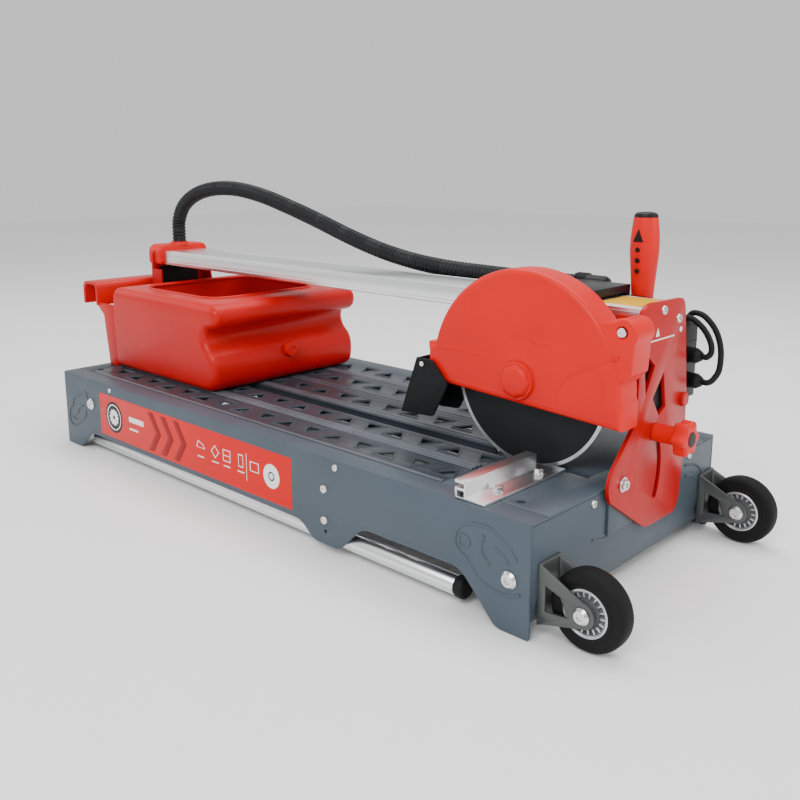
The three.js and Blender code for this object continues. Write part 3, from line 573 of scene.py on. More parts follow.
RIGHT_EMBOSS = [
    [(-92, 76), (-89, 88), (-78, 97), (-60, 101), (-46, 100), (-36, 94), (-24, 86), (-16, 76)],
    [(-92, 76), (-88, 68), (-74, 58), (-62, 45), (-50, 40), (-36, 38), (-20, 40), (-11, 44)],
    [(-86, 84), (-77, 84), (-73, 79), (-76, 73), (-86, 73), (-86, 84)],
    [(-55, 91), (-59, 80), (-56, 70), (-48, 63)],
    [(-42, 82), (-34, 78), (-25, 71)],
]
LEFT_EMBOSS = [
    [(-903, 43), (-899, 58), (-889, 66), (-885, 78), (-868, 86), (-852, 94), (-842, 92), (-840, 84)],
    [(-903, 43), (-898, 34), (-888, 31), (-876, 37), (-862, 45), (-850, 54), (-846, 63)],
    [(-884, 50), (-874, 56), (-866, 66), (-856, 70)],
    [(-892, 46), (-886, 42), (-879, 44)],
]
END_EMBOSS = [
    [(108, 68), (128, 63), (138, 63), (145, 70), (160, 72), (176, 72), (193, 79)],
    [(312, 97), (338, 92), (352, 84), (366, 68)],
    [(314, 84), (330, 80), (342, 72)],
]


def emboss(name, route, face, axis, radius=1.7):
    """A pressed line that stands slightly proud of a side or end panel."""
    place = (lambda u, v: (u, face, v)) if axis == "y" else (lambda u, v: (face, u, v))
    line = catmull([place(u, v) for u, v in route], 3.0)
    return bead(name, line, radius, BASE_PAINT, sides=3,
                squash=(0 if axis == "x" else 1, face, 0.75))


def side_panel(side):
    near = side == "near"
    wall = (0, 3) if near else (BASE_WIDTH - 3, BASE_WIDTH)
    flange = (1.2, 28) if near else (BASE_WIDTH - 28, BASE_WIDTH - 1.2)
    face = 0 if near else BASE_WIDTH
    outline = fillet(SIDE_OUTLINE, SIDE_CORNERS)
    holes = [circle(-286, 27, 2.4, 20), circle(-24, 55.5, 5.4, 24), circle(-828, 78, 5.4, 24)]
    parts = [
        plate(side + "_wall", outline, holes, "y", wall, 0.7, BASE_PAINT, 3),
        block(side + "_flange", (-912, 0), flange, (115, 118), BASE_PAINT, 0.8),
    ]
    for end, routes in (("right", RIGHT_EMBOSS), ("left", LEFT_EMBOSS)):
        parts += [emboss(f"{side}_{end}_emboss_{i}", route, face, "y") for i, route in enumerate(routes)]
    put(joined(side + "_side_panel_fine", parts), "base", "base_paint", side + "_side_panel")
    fasteners = [(-768, 110, 3.6, 1.6), (-267.5, 109, 4.2, 2.2), (-287, 79, 5.2, 2.6), (-287, 41, 5.2, 2.6)]
    heads = [screw(f"{side}_head_{i}", (x, face, z), "y", r, h, STEEL, OUTWARD[side])
             for i, (x, z, r, h) in enumerate(fasteners)]
    put(joined(side + "_panel_screws", heads), "base", "steel")


def end_panel(side):
    refine(side + "_end_panel", BASE_PAINT, "base", "base_paint", 0.8)
    x = END_X[side]
    heads = [screw(f"{side}_end_head_{i}", (x, y, z), "x", 4.6, 2.4, STEEL, OUTWARD[side])
             for i, (y, z) in enumerate([(108, 107.7), (320, 107.6)])]
    put(joined(side + "_end_screws", heads), "base", "steel")
    lines = [emboss(f"{side}_end_emboss_{i}", route, x, "x") for i, route in enumerate(END_EMBOSS)]
    put(joined(side + "_end_lines", lines), "base", "base_paint")


RIDGE_Z = 117.6
HOLE_PITCH = 45.6
HOLE_START = -148
HOLE_COUNT = 16
HOLE_ROWS = {58.5: 0, 121: 1, 201: 0, 268.5: 1, 338.5: 0}


def triangle(x, y, up, grow=0.0):
    """A rounded triangular slot, point towards +y when up."""
    half, tall = 13 + grow, 9.5 + grow
    tip = 1 if up else -1
    points = [(x - half, y - tall * tip), (x + half, y - tall * tip), (x, y + tall * tip)]
    if tip < 0:
        points.reverse()
    return fillet(points, [3.5, 3.5, 4.5], 4)


def deck_plank(name, span, ridges):
    rows = [(y, odd) for y, odd in HOLE_ROWS.items() if span[0] < y < span[1]]
    spots = [(HOLE_START - HOLE_PITCH * k, y, (k + odd) % 2 == 0)
             for y, odd in rows for k in range(HOLE_COUNT)]
    holes = [triangle(x, y, up) for x, y, up in spots]
    parts = [plate(name + "_sheet", rectangle((-870, -135), span), holes, "z", (115.3, DECK_TOP), 0.6,
                   DECK_PAINT, 2)]
    for index, (x, y, up) in enumerate(spots):
        loop = [(u, v, DECK_TOP) for u, v in triangle(x, y, up, 4.2)]
        parts.append(bead(f"{name}_lip_{index}", loop, 1.0, DECK_PAINT, closed=True, sides=1,
                          squash=(2, DECK_TOP, 0.75)))
    # The ridges take the lighter finish: painted highlight streaks along the deck
    for index, (y, width, height) in enumerate(ridges):
        parts.append(bead(f"{name}_ridge_{index}", [(-868, y, RIDGE_Z), (-137, y, RIDGE_Z)], width / 2,
                          RIDGE_PAINTED_HIGHLIGHT, sides=5, squash=(2, RIDGE_Z, height / (width / 2))))
    for index, y in enumerate((span[0] + 3, (span[0] + span[1]) / 2, span[1] - 3)):
        rib_y = (y - 1.5, y + 1.5)
        parts.append(block(f"{name}_rib_{index}", (-840, -165), rib_y, (108, 116), DECK_PAINT, 0.4))
    put(joined(name + "_fine", parts), "base", "base_paint", name)


def add_deck():
    for side in ("right", "left"):
        node = side + "_deck_plate"
        refine(node, DECK_PAINT if side == "left" else BASE_PAINT, "base", "base_paint")
    deck_plank("near_deck_plank", (28.6, 141), [(33.5, 5, 1.2), (84.5, 5, 1.6), (91, 8, 2.2), (98, 5, 1.6)])
    deck_plank("middle_deck_plank", (161, 232), [(168, 6, 1.6), (175.5, 8, 2.2), (228, 5, 1.4)])
    deck_plank("far_deck_plank", (232.6, 357.4), [(237.5, 5, 1.4), (300, 6, 1.6), (307, 6, 1.6)])


def add_fence():
    refine("fence_rail", ALUMINIUM_Y, "base", "aluminium")
    for side, y in (("near", 41), ("far", 113)):
        bolt = hex_bolt(side + "_fence_bolt_fine", (-70, y, 121.6), "z", 5.2, 6, STEEL)
        put(bolt, "base", "steel", side + "_fence_bolt")
    top = 138.3
    lines = [bead(f"fence_line_{i}", [(x, 5, top), (x, 124, top)], 0.5, ALUMINIUM_Y, squash=(2, top, 0.5))
             for i, x in enumerate((-93.5, -89, -84.5))]
    put(joined("fence_grooves", lines), "base", "aluminium")


def domed_rod(node, x, z, head, span):
    """A rod across the base, with a domed head on each end."""
    low, high = span
    radius, tall = 5, 3.7
    profile = [
        (0, low - tall * 0.5), (head * 0.4, low - tall * 0.5), (head * 0.46, low - tall),
        (head * 0.72, low - tall),
        (head, low - tall * 0.3), (head, low), (radius, low), (radius, high), (head, high),
        (head, high + tall * 0.3), (head * 0.72, high + tall), (head * 0.46, high + tall),
        (head * 0.4, high + tall * 0.5), (0, high + tall * 0.5),
    ]
    turned(node, profile, (x, 0, z), "y", STEEL, "base", "steel")


# ---- wheels and legs ------------------------------------------------------------------
WHEEL_CENTRE = Vector((49, 40))


def add_wheel(side, middle):
    hub_at = (WHEEL_CENTRE.x, middle, WHEEL_CENTRE.y)
    tyre = [
        (24, -12), (27, -12), (28, -11), (35, -11.4), (37.5, -10.2), (39.3, -7.5), (40, -3.5), (40, 3.5),
        (39.3, 7.5), (37.5, 10.2), (35, 11.4), (28, 11), (27, 12), (24, 12),
    ]
    turned(side + "_tyre", tyre, hub_at, "y", TYRE_RUBBER, side + "_wheel", "tyre", 80, closed=True)
    hub = [
        (9.6, -11), (13, -11), (14.5, -8), (18, -7.5), (20.5, -11.5), (22.2, -12.8), (23.6, -12),
        (23.6, 12), (22.2, 12.8), (20.5, 11.5), (18, 7.5), (14.5, 8), (13, 11), (9.6, 11),
    ]
    bearing = [(5.5, -12.5), (7, -13), (9.5, -12.4), (9.5, 12.4), (7, 13), (5.5, 12.5)]
    parts = [lathe(side + "_hub_body", hub, hub_at, "y", HUB_PLASTIC, 64, closed=True),
             lathe(side + "_hub_bearing", bearing, hub_at, "y", STEEL, 48, closed=True)]
    rib_count = 18
    for index in range(rib_count):
        turn = 2 * pi * index / rib_count
        inner, outer = (WHEEL_CENTRE + Vector((cos(turn), sin(turn))) * reach for reach in (15, 21.5))
        across = Vector((-sin(turn), cos(turn))) * 0.9
        rib = [tuple(inner - across), tuple(outer - across), tuple(outer + across), tuple(inner + across)]
        parts.append(plate(f"{side}_hub_rib_{index}", rib, [], "y", (middle - 11, middle + 11), 0.5, HUB_RIM))
    ring = [(20.6, -11.6), (22.2, -13), (23.7, -12.2), (23.7, 12.2), (22.2, 13), (20.6, 11.6)]
    parts.append(lathe(side + "_hub_ring", ring, hub_at, "y", HUB_RIM, 64, closed=True))
    put(joined(side + "_wheel_hub_fine", parts), side + "_wheel", "hub_plastic", side + "_wheel_hub")
    refine(side + "_wheel_fork", FORK_METAL, "base", "fork_metal", 0.7)
    domed_rod(side + "_wheel_axle", *WHEEL_CENTRE, 8.5, (middle - 18.3, middle + 18.3))


LEFT_LEG_Z, RIGHT_LEG_Z = 18, 55.5
LEFT_ROD, RIGHT_ROD = (-828, 78), (-24, RIGHT_LEG_Z)


def leg_tube(name, span, y, z):
    radius = 11
    profile = [(9.2, span[0]), (radius - 0.4, span[0]), (radius, span[0] + 0.6), (radius, span[1] - 0.6),
               (radius - 0.4, span[1]), (9.2, span[1])]
    return lathe(name, profile, (0, y, z), "x", ALUMINIUM, 40, closed=True)


def leg_foot(node, span, y, z, body):
    low, high = span
    profile = [(0, low), (9.5, low), (11.6, low + 1.6), (12, low + 3), (12, high - 3), (11.6, high - 1.6),
               (9.5, high), (0, high)]
    turned(node, profile, (0, y, z), "x", BLACK_RUBBER, body, "black_rubber", 36)


def add_legs():
    parts = [leg_tube(f"left_leg_tube_{i}", (-842, -100), y, LEFT_LEG_Z) for i, y in enumerate((17, 369))]
    ear = fillet([(-840, 20), (-788, 20), (-816, 78), (-822, 90), (-834, 90), (-840, 78)], 5)
    bore = circle(*LEFT_ROD, 5.6, 24)
    parts += [plate(f"left_leg_ear_{i}", ear, [bore], "y", (y - 2, y + 2), 0.6, ALUMINIUM)
              for i, y in enumerate((17, 369))]
    cross = [(0, 17), (7, 17), (7, 369), (0, 369)]
    parts.append(lathe("left_leg_cross", cross, (-795, 0, LEFT_LEG_Z), "y", ALUMINIUM, 28))
    put(joined("left_leg_frame_fine", parts), "left_legs", "aluminium", "left_leg_frame")
    parts = [leg_tube(f"right_leg_tube_{i}", (-741.5, -12), y, RIGHT_LEG_Z) for i, y in enumerate((45, 341))]
    cross = [(0, 45), (7, 45), (7, 341), (0, 341)]
    parts.append(lathe("right_leg_cross", cross, (-700, 0, RIGHT_LEG_Z), "y", ALUMINIUM, 28))
    put(joined("right_leg_frame_fine", parts), "right_legs", "aluminium", "right_leg_frame")
    for side, y_left, y_right in (("near", 17, 45), ("far", 369, 341)):
        leg_foot(f"left_leg_{side}_foot", (-99.7, -87.7), y_left, LEFT_LEG_Z, "left_legs")
        leg_foot(f"right_leg_{side}_foot", (-753.8, -741.8), y_right, RIGHT_LEG_Z, "right_legs")
    domed_rod("left_leg_rod", *LEFT_ROD, 9, (-0.3, BASE_WIDTH + 0.3))
    domed_rod("right_leg_rod", *RIGHT_ROD, 9, (-0.3, BASE_WIDTH + 0.3))


# ---- printed panel on the near side ---------------------------------------------------
def printed(name, outline, holes, finish, lift):
    return plate(name, outline, holes, "y", (-0.14 - lift, 0.1), 0.04, finish, 1)


def frame_shape(points, width):
    """A line drawing of a closed shape: its outline and, inside it, a hole."""
    middle = Vector((sum(p[0] for p in points) / len(points), sum(p[1] for p in points) / len(points)))
    inner = []
    for point in points:
        inward = middle - Vector(point)
        inner.append(tuple(Vector(point) + inward.normalized() * width))
    return points, [inner]


def add_print():
    left, right, low, high = -801, -345, 37, 102
    field = fillet(rectangle((left, right), (low, high)), 1.5)
    parts = [printed("print_field", field, [], RED_PRINT, 0.0)]
    for index, x in enumerate((-664, -632, -600)):
        stripe = [(x, low + 4), (x + 14, low + 4), (x + 34, 69.5), (x + 14, high - 4), (x, high - 4),
                  (x + 20, 69.5)]
        parts.append(printed(f"print_chevron_{index}", stripe, [], DEEP_PRINT, 0.08))
    badge_x, middle = -759.5, 70
    parts.append(printed("print_badge", circle(badge_x, middle, 24, 48), [], DARK_PRINT, 0.08))
    parts.append(printed("print_badge_ring", circle(badge_x, middle, 20, 48),
                         [circle(badge_x, middle, 18.2, 48)], WHITE_PRINT, 0.16))
    tooth_ring = []
    for step in range(24):
        radius = 11 if step % 2 else 13.5
        tooth_ring.append((badge_x + radius * cos(pi * step / 12), middle + radius * sin(pi * step / 12)))
    parts.append(printed("print_badge_disc", tooth_ring, [circle(badge_x, middle, 3.2, 20)], WHITE_PRINT,
                         0.16))
    for width, u, v, corner in (("wide", (-716, -676), (72, 80), 1.5), ("thin", (-716, -692), (60, 63), 1)):
        bar = fillet(rectangle(u, v), corner)
        parts.append(printed("print_bar_" + width, bar, [], WHITE_PRINT, 0.16))
    shapes = [
        fillet([(-543, 73), (-523, 73), (-527, 79), (-539, 83)], 1),
        [(-500.5, 66), (-491.5, 75), (-500.5, 84), (-509.5, 75)],
        rectangle((-483, -467), (67, 83)),
        rectangle((-450, -440), (67, 84)),
        fillet(rectangle((-426, -408), (67, 80)), 1),
    ]
    for index, shape in enumerate(shapes):
        outline, holes = frame_shape(shape, 1.6)
        parts.append(printed(f"print_icon_{index}", outline, holes, WHITE_PRINT, 0.08))
    under = (60, 61.6)
    rules = [((-483, -467), (74.4, 75.6)), ((-433.6, -432.8), (52, 88)), ((-541, -526), under),
             ((-508, -493), under), ((-482, -468), under), ((-452, -438), under)]
    for index, (u, v) in enumerate(rules):
        parts.append(printed(f"print_rule_{index}", rectangle(u, v), [], WHITE_PRINT, 0.08))
    disc_x = -383.5
    parts.append(printed("print_disc", circle(disc_x, middle, 15.5, 48), [], WHITE_PRINT, 0.08))
    parts.append(printed("print_disc_mark", circle(disc_x, middle, 6, 32), [circle(disc_x, middle, 4, 32)],
                         DARK_PRINT, 0.16))
    put(joined("near_panel_print", parts), "base", "red_plastic")


# ---- tilting bridge -------------------------------------------------------------------
TOWER_FACE = 8.2
BLADE_Y = 151
PIVOT = (BLADE_Y, 119)
STUD = (216.0, 161.21)


def end_span(side, inner, outer):
    """A span along x, measured outwards from one end of the base."""
    return tuple(sorted(END_X[side] + OUTWARD[side] * reach for reach in (inner, outer)))


def tower_details(side):
    """The screws round the rail's end, the tilt pointer, the lock pin and the cover on a tower."""
    face = END_X[side] + TOWER_FACE * OUTWARD[side]
    heads = [screw(f"{side}_tower_head_{i}", (face, y, z), "x", 5.2, 2.6, STEEL, OUTWARD[side])
             for i, (y, z) in enumerate([(186, 281), (220, 294), (255, 281)])]
    put(joined(side + "_tower_screws", heads), "bridge", "steel")
    pin = lathe(side + "_pin", [(0, 0), (8, 0), (8, 3), (6.5, 4.4), (0, 4.4)], (face, 277, 186), "x",
                RED_PAINT, 32, sign=OUTWARD[side])
    put(pin, "bridge", "red_paint")
    marks = [[(205, 267), (213, 267), (209, 276)], circle(262, 268, 3, 20),
             rectangle((188, 247), (262.5, 264))]
    pointer = [plate(f"{side}_pointer_{i}", mark, [], "x", end_span(side, TOWER_FACE - 0.1, TOWER_FACE + 0.25),
                     0.05, WHITE_PRINT, 1) for i, mark in enumerate(marks)]
    put(joined(side + "_tilt_pointer", pointer), "bridge", "red_paint")
    # The cover's lower edge stays further from the pivot than the stand, so the bridge can tilt.
    cover_corners = [(184, 206), (200, 199), (222, 177.5), (262, 177.5), (262, 271), (184, 271)]
    cover_outline = fillet(cover_corners, [3, 0.5, 0.5, 4, 4, 4])
    cover = plate(side + "_tower_cover", cover_outline, [], "x", end_span(side, 0.6, 2.4), 0.5, BLACK_PLASTIC)
    put(cover, "bridge", "black_plastic")


def clamp_knob(side):
    outline = []
    for step in range(120):
        turn = 2 * pi * step / 120
        radius = 17.6 + 2.3 * cos(6 * turn)
        outline.append((STUD[0] + radius * cos(turn), STUD[1] + radius * sin(turn)))
    hub = [(4.5, 8.6), (10, 8.6), (10, 30), (13, 35), (4.5, 35)]
    cap = [(0, 49.6), (8.5, 49.6), (8, 50.6), (0, 50.9)]
    stud, sign = (END_X[side], *STUD), OUTWARD[side]
    parts = [
        plate(side + "_knob_head", outline, [], "x", end_span(side, 34, 50), 3.5, RED_PLASTIC, 4),
        lathe(side + "_knob_hub", hub, stud, "x", RED_PLASTIC, 40, True, sign),
        lathe(side + "_knob_cap", cap, stud, "x", BLACK_PLASTIC, 40, False, sign),
    ]
    put(joined(side + "_clamp_knob_fine", parts), side + "_clamp", "red_plastic", side + "_clamp_knob")


def pivot_bolt(side):
    profile = [(0, 0.1), (5, 0.1), (5, 8.5), (8, 8.5), (8, 9.6), (6, 9.6), (6, 12.4), (5, 13.5), (3, 13.5),
               (2.6, 11.4), (0, 11.4)]
    turned(side + "_pivot_bolt", profile, (END_X[side], *PIVOT), "x", STEEL, "base", "steel",
           sign=OUTWARD[side])


def add_bridge():
    refine("guide_rail", ALUMINIUM, "bridge", "aluminium", 1.0, 3)
    ridge_places = [(187.2, 280.5), (187.2, 293.5), (193, 298.1), (257, 298.1), (262.8, 280.5)]
    lines = [bead(f"rail_line_{i}", [(-914, y, z), (2, y, z)], 0.7, ALUMINIUM)
             for i, (y, z) in enumerate(ridge_places)]
    put(joined("rail_ridges", lines), "bridge", "aluminium")
    label = block("rail_label", (-58, -8), (191, 259), (298.2, 298.55), YELLOW_LABEL, 0.08, 1)
    put(label, "bridge", "aluminium")
    for side in ("right", "left"):
        refine(side + "_tower", RED_PAINT, "bridge", "red_paint", 1.0, 3)
        refine(side + "_pivot_stand", BASE_PAINT, "base", "dark_paint", 0.6)
        tower_details(side)
        clamp_knob(side)
        pivot_bolt(side)
    cap = fillet(rectangle((178, 275), (275, 309)), [6, 6, 14, 16], 8)
    parts = [plate("left_cap_body", cap, [], "x", (-936, -899), 4.5, RED_PLASTIC, 4),
             lathe("left_cap_collar", [(0, 306), (16, 306), (16, 310), (14.8, 312), (0, 312)],
                   (-914, 228, 0), "z", RED_PLASTIC, 48)]
    heads = [screw(f"left_cap_head_{i}", (-936, y, 291), "x", 4.4, 2.2, STEEL, -1)
             for i, y in enumerate((196, 258))]
    put(joined("left_rail_cap_fine", parts), "bridge", "red_plastic", "left_rail_cap")
    put(joined("left_cap_screws", heads), "bridge", "steel")


# ---- carriage -------------------------------------------------------------------------
ARBOR = (-112, 0, 211.5)
BLADE_RADIUS = 100


def add_blade():
    body = [(6.4, -0.9), (95.8, -0.9), (95.8, 0.9), (6.4, 0.9)]
    rim = [(95.6, -1.25), (99.4, -1.25), (BLADE_RADIUS, -0.8), (BLADE_RADIUS, 0.8), (99.4, 1.25), (95.6, 1.25)]
    centre = (ARBOR[0], BLADE_Y, ARBOR[2])
    parts = [lathe("blade_body", body, centre, "y", BLADE_BODY, 128, closed=True),
             lathe("blade_rim", rim, centre, "y", BLADE_RIM, 128, closed=True)]
    put(joined("saw_blade_fine", parts), "blade", "blade_steel", "saw_blade")
    flange = [(6.4, 137.6), (9, 137.6), (11, 138.6), (12, 141), (12, 144.4), (22, 145), (25, 146.4),
              (25, 149.4), (24, 149.6), (6.4, 149.6)]
    turned("blade_flange", flange, ARBOR, "y", STEEL, "blade", "steel", 56, closed=True)


GUARD_RADIUS = 124


def guard_loop(inset, floor):
    left, right = -243 + inset, 14 - inset
    radius = GUARD_RADIUS - inset
    shoulder = 180 - 12
    points = [(left, 194 - floor), (right, 180 - floor), (right, 205)]
    points += arc((ARBOR[0], ARBOR[2]), radius, 0, shoulder, 72)
    points += [(left, ARBOR[2] + radius * sin(radians(shoulder)) - inset / 2)]
    return points


def add_guard():
    near_face = 128
    shell = plate("guard_shell_fine", guard_loop(0, 0), [], "y", (near_face, 168), 6.5, RED_PLASTIC, 5)
    hollow = plate("guard_hollow", guard_loop(3, 30), [], "y", (131, 165), 0.05, RED_PLASTIC, 1)
    back = block("guard_back_cut", (-232, 4), (164, 170), (150, 200), RED_PLASTIC, 0.05, 1)
    shaft = lathe("guard_shaft_cut", [(0, 160), (28, 160), (28, 172), (0, 172)], ARBOR, "y", RED_PLASTIC, 48)
    carve(shell, hollow, back, shaft)
    lug = plate("guard_lug", arc((12, 281), 15, -40, 130, 24) + [(-28, 286), (-34, 250), (8, 226), (22, 240)],
                [circle(10, 282, 5.4, 24)], "y", (130, 168), 3.2, RED_PLASTIC, 4)
    boss_profile = [(0, 118), (14.5, 118), (16.5, 118.8), (19.5, 122.5), (20, 126), (20, 129), (0, 129)]
    boss = lathe("guard_boss", boss_profile, (ARBOR[0], 0, 214), "y", RED_PLASTIC, 8)
    collar = lathe("guard_boss_ring", [(0, 123.5), (20.8, 123.5), (21.6, 125), (21.6, 129), (0, 129)],
                   (ARBOR[0], 0, 214), "y", RED_PLASTIC, 64)
    tab = block("guard_tab", (-245, -222), (132, 164), (231, 239.5), RED_PLASTIC, 1.6)
    tab_low = block("guard_tab_low", (-246, -232), (130, 166), (198, 209), RED_PLASTIC, 1.2)
    hinge_profile = [(0, 121.5), (3, 121.5), (3, 174.5), (0, 174.5)]
    hinge = lathe("guard_hinge", hinge_profile, (-247, 0, 212.5), "y", STEEL, 24)
    seams = [
        [(-226, 235), (-196, 235.5), (-166, 234)],
        [(-124, 262), (-106, 263.6), (-86, 258), (-71, 259)],
        [(-62, 193), (-60, 211), (-49, 228), (-23, 242), (3, 254), (9, 257)],
        [(-10, 239), (-6, 222), (-9, 205)],
        [(-232, 200), (-120, 194.5), (4, 188)],
    ]
    ribs = []
    for index, seam in enumerate(seams):
        line = catmull([(x, near_face, z) for x, z in seam], 2.0)
        ribs.append(bead(f"guard_seam_{index}", line, 0.9, RED_PLASTIC, squash=(1, near_face, 0.6)))
    parts = [shell, lug, boss, collar, tab, tab_low, hinge, *ribs]
    put(joined("guard_shell_whole", parts), "carriage", "red_plastic", "guard_shell")
    bolt = [(0, 130.6), (2.4, 130.6), (2.7, 128.6), (4.2, 128.6), (5, 129.6), (5, 168.3), (7, 168.3),
            (7, 170.6), (0, 170.6)]
    turned("guard_bolt", bolt, (10, 0, 282), "y", STEEL, "carriage", "steel")


def add_flap():
    cheek = fillet([(-256, 219), (-232, 219), (-207, 193), (-230, 150.5), (-281, 148)], [3, 4, 5, 4, 3])
    wall = [(-256, 219), (-253, 219), (-278, 148), (-281, 148)]
    pin = [circle(-247, 212.5, 3.3, 20)]
    parts = [plate("flap_near", cheek, pin, "y", (122.5, 125.5), 0.7, BLACK_RUBBER),
             plate("flap_far", cheek, pin, "y", (170.5, 173.5), 0.7, BLACK_RUBBER),
             plate("flap_wall", wall, [], "y", (122.6, 173.4), 0.5, BLACK_RUBBER)]
    for index, y in enumerate((132, 140, 148, 156, 164)):
        parts.append(bead(f"flap_rib_{index}", [(-256.4, y, 216), (-280, y, 150)], 1.1, BLACK_RUBBER))
    put(joined("splash_flap_fine", parts), "flap", "black_rubber", "splash_flap")


def add_motor():
    shell = [(8, 176), (44, 176), (48, 178), (50, 182)]
    for rib in range(14):
        start = 190 + rib * 7.5
        shell += [(50, start), (47.6, start + 1), (47.6, start + 4), (50, start + 5)]
    shell += [(50, 304), (49.4, 306), (38, 306), (38, 190), (8, 190)]
    turned("motor_housing", shell, ARBOR, "y", DARK_PAINT, "carriage", "motor_metal", 72, closed=True)
    cover = [(47, 306.3), (50, 306.3), (50, 322), (48.6, 326), (44, 330), (32, 336.4), (28, 338), (0, 338),
             (0, 334), (27, 334), (44, 325), (47, 320)]
    hood = lathe("motor_fan_cover_fine", cover, ARBOR, "y", BLACK_PLASTIC, 72)
    slots = []
    slot_count = 12
    for index in range(slot_count):
        turn = 2 * pi * index / slot_count
        inner, outer = ((ARBOR[0] + reach * cos(turn), ARBOR[2] + reach * sin(turn)) for reach in (24, 38))
        slots.append(plate(f"fan_slot_{index}", stadium(inner, outer, 1.8, 6), [], "y", (320, 342), 0.05,
                           BLACK_PLASTIC, 1))
    carve(hood, joined("fan_slots", slots))
    put(hood, "carriage", "black_plastic", "motor_fan_cover")
    refine("carriage_housing", DARK_PAINT, "carriage", "dark_paint", 0.8)
    for side, x in (("left", -152), ("right", -74)):
        profile = [(0, 172), (3.2, 172), (3.2, 192), (8.4, 192), (9, 192.8), (9, 257.2), (8.4, 258),
                   (3.2, 258), (3.2, 273), (0, 273)]
        turned(side + "_roller", profile, (x, 0, 265.999), "y", STEEL, side + "_track_roller", "steel", 36)


def gland(name, y, z):
    profile = [(0, -13.7), (9.5, -13.7), (9.5, -9)]
    for rib in range(4):
        profile += [(9.2, -9 + rib * 2), (9.2, -8.2 + rib * 2), (8.3, -7.8 + rib * 2), (8.3, -7.2 + rib * 2)]
    profile += [(8.4, -1), (7, 1.5), (5.2, 4.2), (4.6, 4.4), (0, 4.4)]
    turned(name, profile, (0, y, z), "x", BLACK_PLASTIC, "carriage", "black_plastic", 36)


def add_controls():
    refine("switch_box", BLACK_PLASTIC, "carriage", "black_plastic", 2.0, 3)
    refine("rocker_switch", RED_PLASTIC, "switch", "red_plastic", 0.6)
    seam = fillet(rectangle((-60, -14), (304, 354)), 3)
    put(bead("switch_box_seam", [(x, y, 240) for x, y in seam], 0.7, BLACK_PLASTIC, closed=True), "carriage",
        "black_plastic")
    gland("upper_gland", 329, 226)
    gland("lower_gland", 333, 195)
    grip = [(0, 282.3), (11.6, 282.3), (12.6, 284), (12.6, 290), (12.9, 300), (13.8, 314), (15, 328),
            (16.2, 342), (16.5, 352), (16.2, 364), (15.2, 374), (14, 384), (13.6, 386)]
    cap = [(0, 385.5), (13.4, 385.5), (13.4, 387.4), (12.2, 390), (9.5, 391.4), (5, 392), (0, 392)]
    x = -53
    marks = [fillet([(x - 6, 359), (x + 6, 359), (x, 373)], 0.8)]
    marks += [circle(x, z, half * 0.62, 20) for z, half in ((350, 4.6), (338, 4.6), (326, 4.2))]
    parts = [lathe("grip_body", grip, (x, 286, 0), "z", RED_PLASTIC, 64),
             lathe("grip_cap", cap, (x, 286, 0), "z", BLACK_PLASTIC, 64)]
    parts += [plate(f"grip_insert_{i}", mark, [], "y", (269, 276), 0.4, BLACK_PLASTIC, 2)
              for i, mark in enumerate(marks)]
    put(joined("handle_grip_fine", parts), "carriage", "red_plastic", "handle_grip")
    sleeve = [(0, -144), (14, -144), (14.6, -142)]
    for rib in range(5):
        sleeve += [(15, -141 + rib * 3), (15, -139.6 + rib * 3), (13.8, -139.2 + rib * 3),
                   (13.8, -138.4 + rib * 3)]
    sleeve += [(13, -124), (13, -105), (11.5, -101.5), (9, -100), (0, -100)]
    parts = [lathe("hose_sleeve", sleeve, (0, 290, 301), "x", BLACK_PLASTIC, 48),
             block("hose_clip", (-132, -108), (274.3, 292), (290, 306), BLACK_PLASTIC, 1.2)]
    put(joined("hose_gland_fine", parts), "carriage", "black_plastic", "hose_gland")


# ---- tank -----------------------------------------------------------------------------
def swept(points, steps=9):
    """Start, then (control, end) pairs: quadratic curves where a control is given."""
    line = [points[0]]
    for control, end in points[1:]:
        start = Vector(line[-1])
        if control is None:
            line.append(end)
            continue
        for step in range(1, steps + 1):
            t = step / steps
            line.append(tuple(start * (1 - t) ** 2 + Vector(control) * 2 * t * (1 - t) + Vector(end) * t * t))
    return line


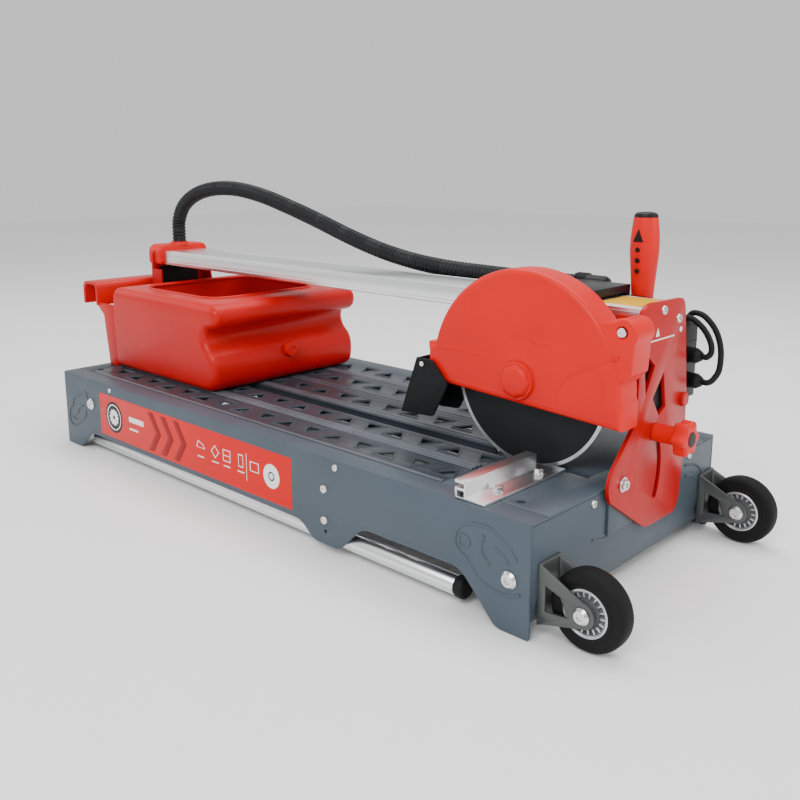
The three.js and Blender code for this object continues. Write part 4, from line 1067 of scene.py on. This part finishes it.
def add_tank():
    floor, top = DECK_TOP + 0.3, 249
    left, right = -885, -600
    profile = swept([
        (left + 4, floor), (None, (right - 30, floor)), ((right - 8, floor), (right - 4, 136)),
        ((right, 162), (right - 12, 176)), ((right - 36, 194), (right - 22, 211)),
        ((right + 6, 212), (right + 4, 232)), ((right + 4, 246), (right - 14, top - 1)),
        (None, (left + 20, top)), ((left, top), (left, top - 22)),
    ])
    body = plate("tank_body", profile, [], "y", (74, 352), 12, TANK_PLASTIC, 6)
    basin = fillet(rectangle((-849, -650), (110, 316)), 38, 12)
    cavity = plate("tank_cavity", basin, [], "z", (floor + 14, top + 30), 2.0, TANK_PLASTIC, 3)
    plug_at = (0, 216, 166)
    hole = lathe("tank_plug_cut", [(0, -660), (9.4, -660), (9.4, -580), (0, -580)], plug_at, "x",
                 TANK_PLASTIC, 32)
    carve(body, cavity, hole)
    rim = bead("tank_rim", [(x, y, top - 0.9) for x, y in basin], 2.8, TANK_PLASTIC, closed=True, sides=4)
    lip_shape = swept([
        (-975, 214), (None, (-969, 214)), (None, (-969, 236)), ((-968, 247), (-958, 247)),
        (None, (-940, 247)),
        ((-934, 246), (-934, 238)), (None, (-934, 214)), (None, (-928, 214)), (None, (-928, 243)),
        ((-929, 252), (-938, 252)), (None, (-962, 252)), ((-975, 252), (-975, 240)),
    ], 6)
    lip = plate("tank_lip", lip_shape, [], "y", (74, 232), 1.8, TANK_PLASTIC, 3)
    web_outline = [(-877, floor), (-902, floor), (-914, 200), (-934, 215), (-934, 219), (-877, 219)]
    web = plate("tank_web", web_outline, [], "y", (76, 80), 1.2, TANK_PLASTIC, 2)
    put(joined("water_tank_fine", [body, rim, lip, web]), "tank", "red_plastic", "water_tank")
    plug = [(0, -646), (9, -646), (9, -603), (12, -603), (12, -598), (11.2, -596.4), (5, -596), (4.4, -597.4),
            (0, -597.4)]
    turned("drain_plug", plug, plug_at, "x", RED_PLASTIC, "plug", "red_plastic")


def finish_rotor():
    """The rotor keeps its CAD shape and takes the steel finish."""
    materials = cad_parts["motor_rotor"].data.materials
    materials.clear()
    materials.append(STEEL)


def main():
    add_camera()
    add_hose()
    add_cable("upper_cable", UPPER_CABLE_ROUTE)
    add_cable("lower_cable", LOWER_CABLE_ROUTE)
    add_studio()
    for side in ("near", "far"):
        side_panel(side)
    for side in ("right", "left"):
        end_panel(side)
    add_deck()
    add_fence()
    add_print()
    add_wheel("near", 30)
    add_wheel("far", 368)
    add_legs()
    add_bridge()
    add_blade()
    add_guard()
    add_flap()
    add_motor()
    add_controls()
    add_tank()
    finish_rotor()


main()
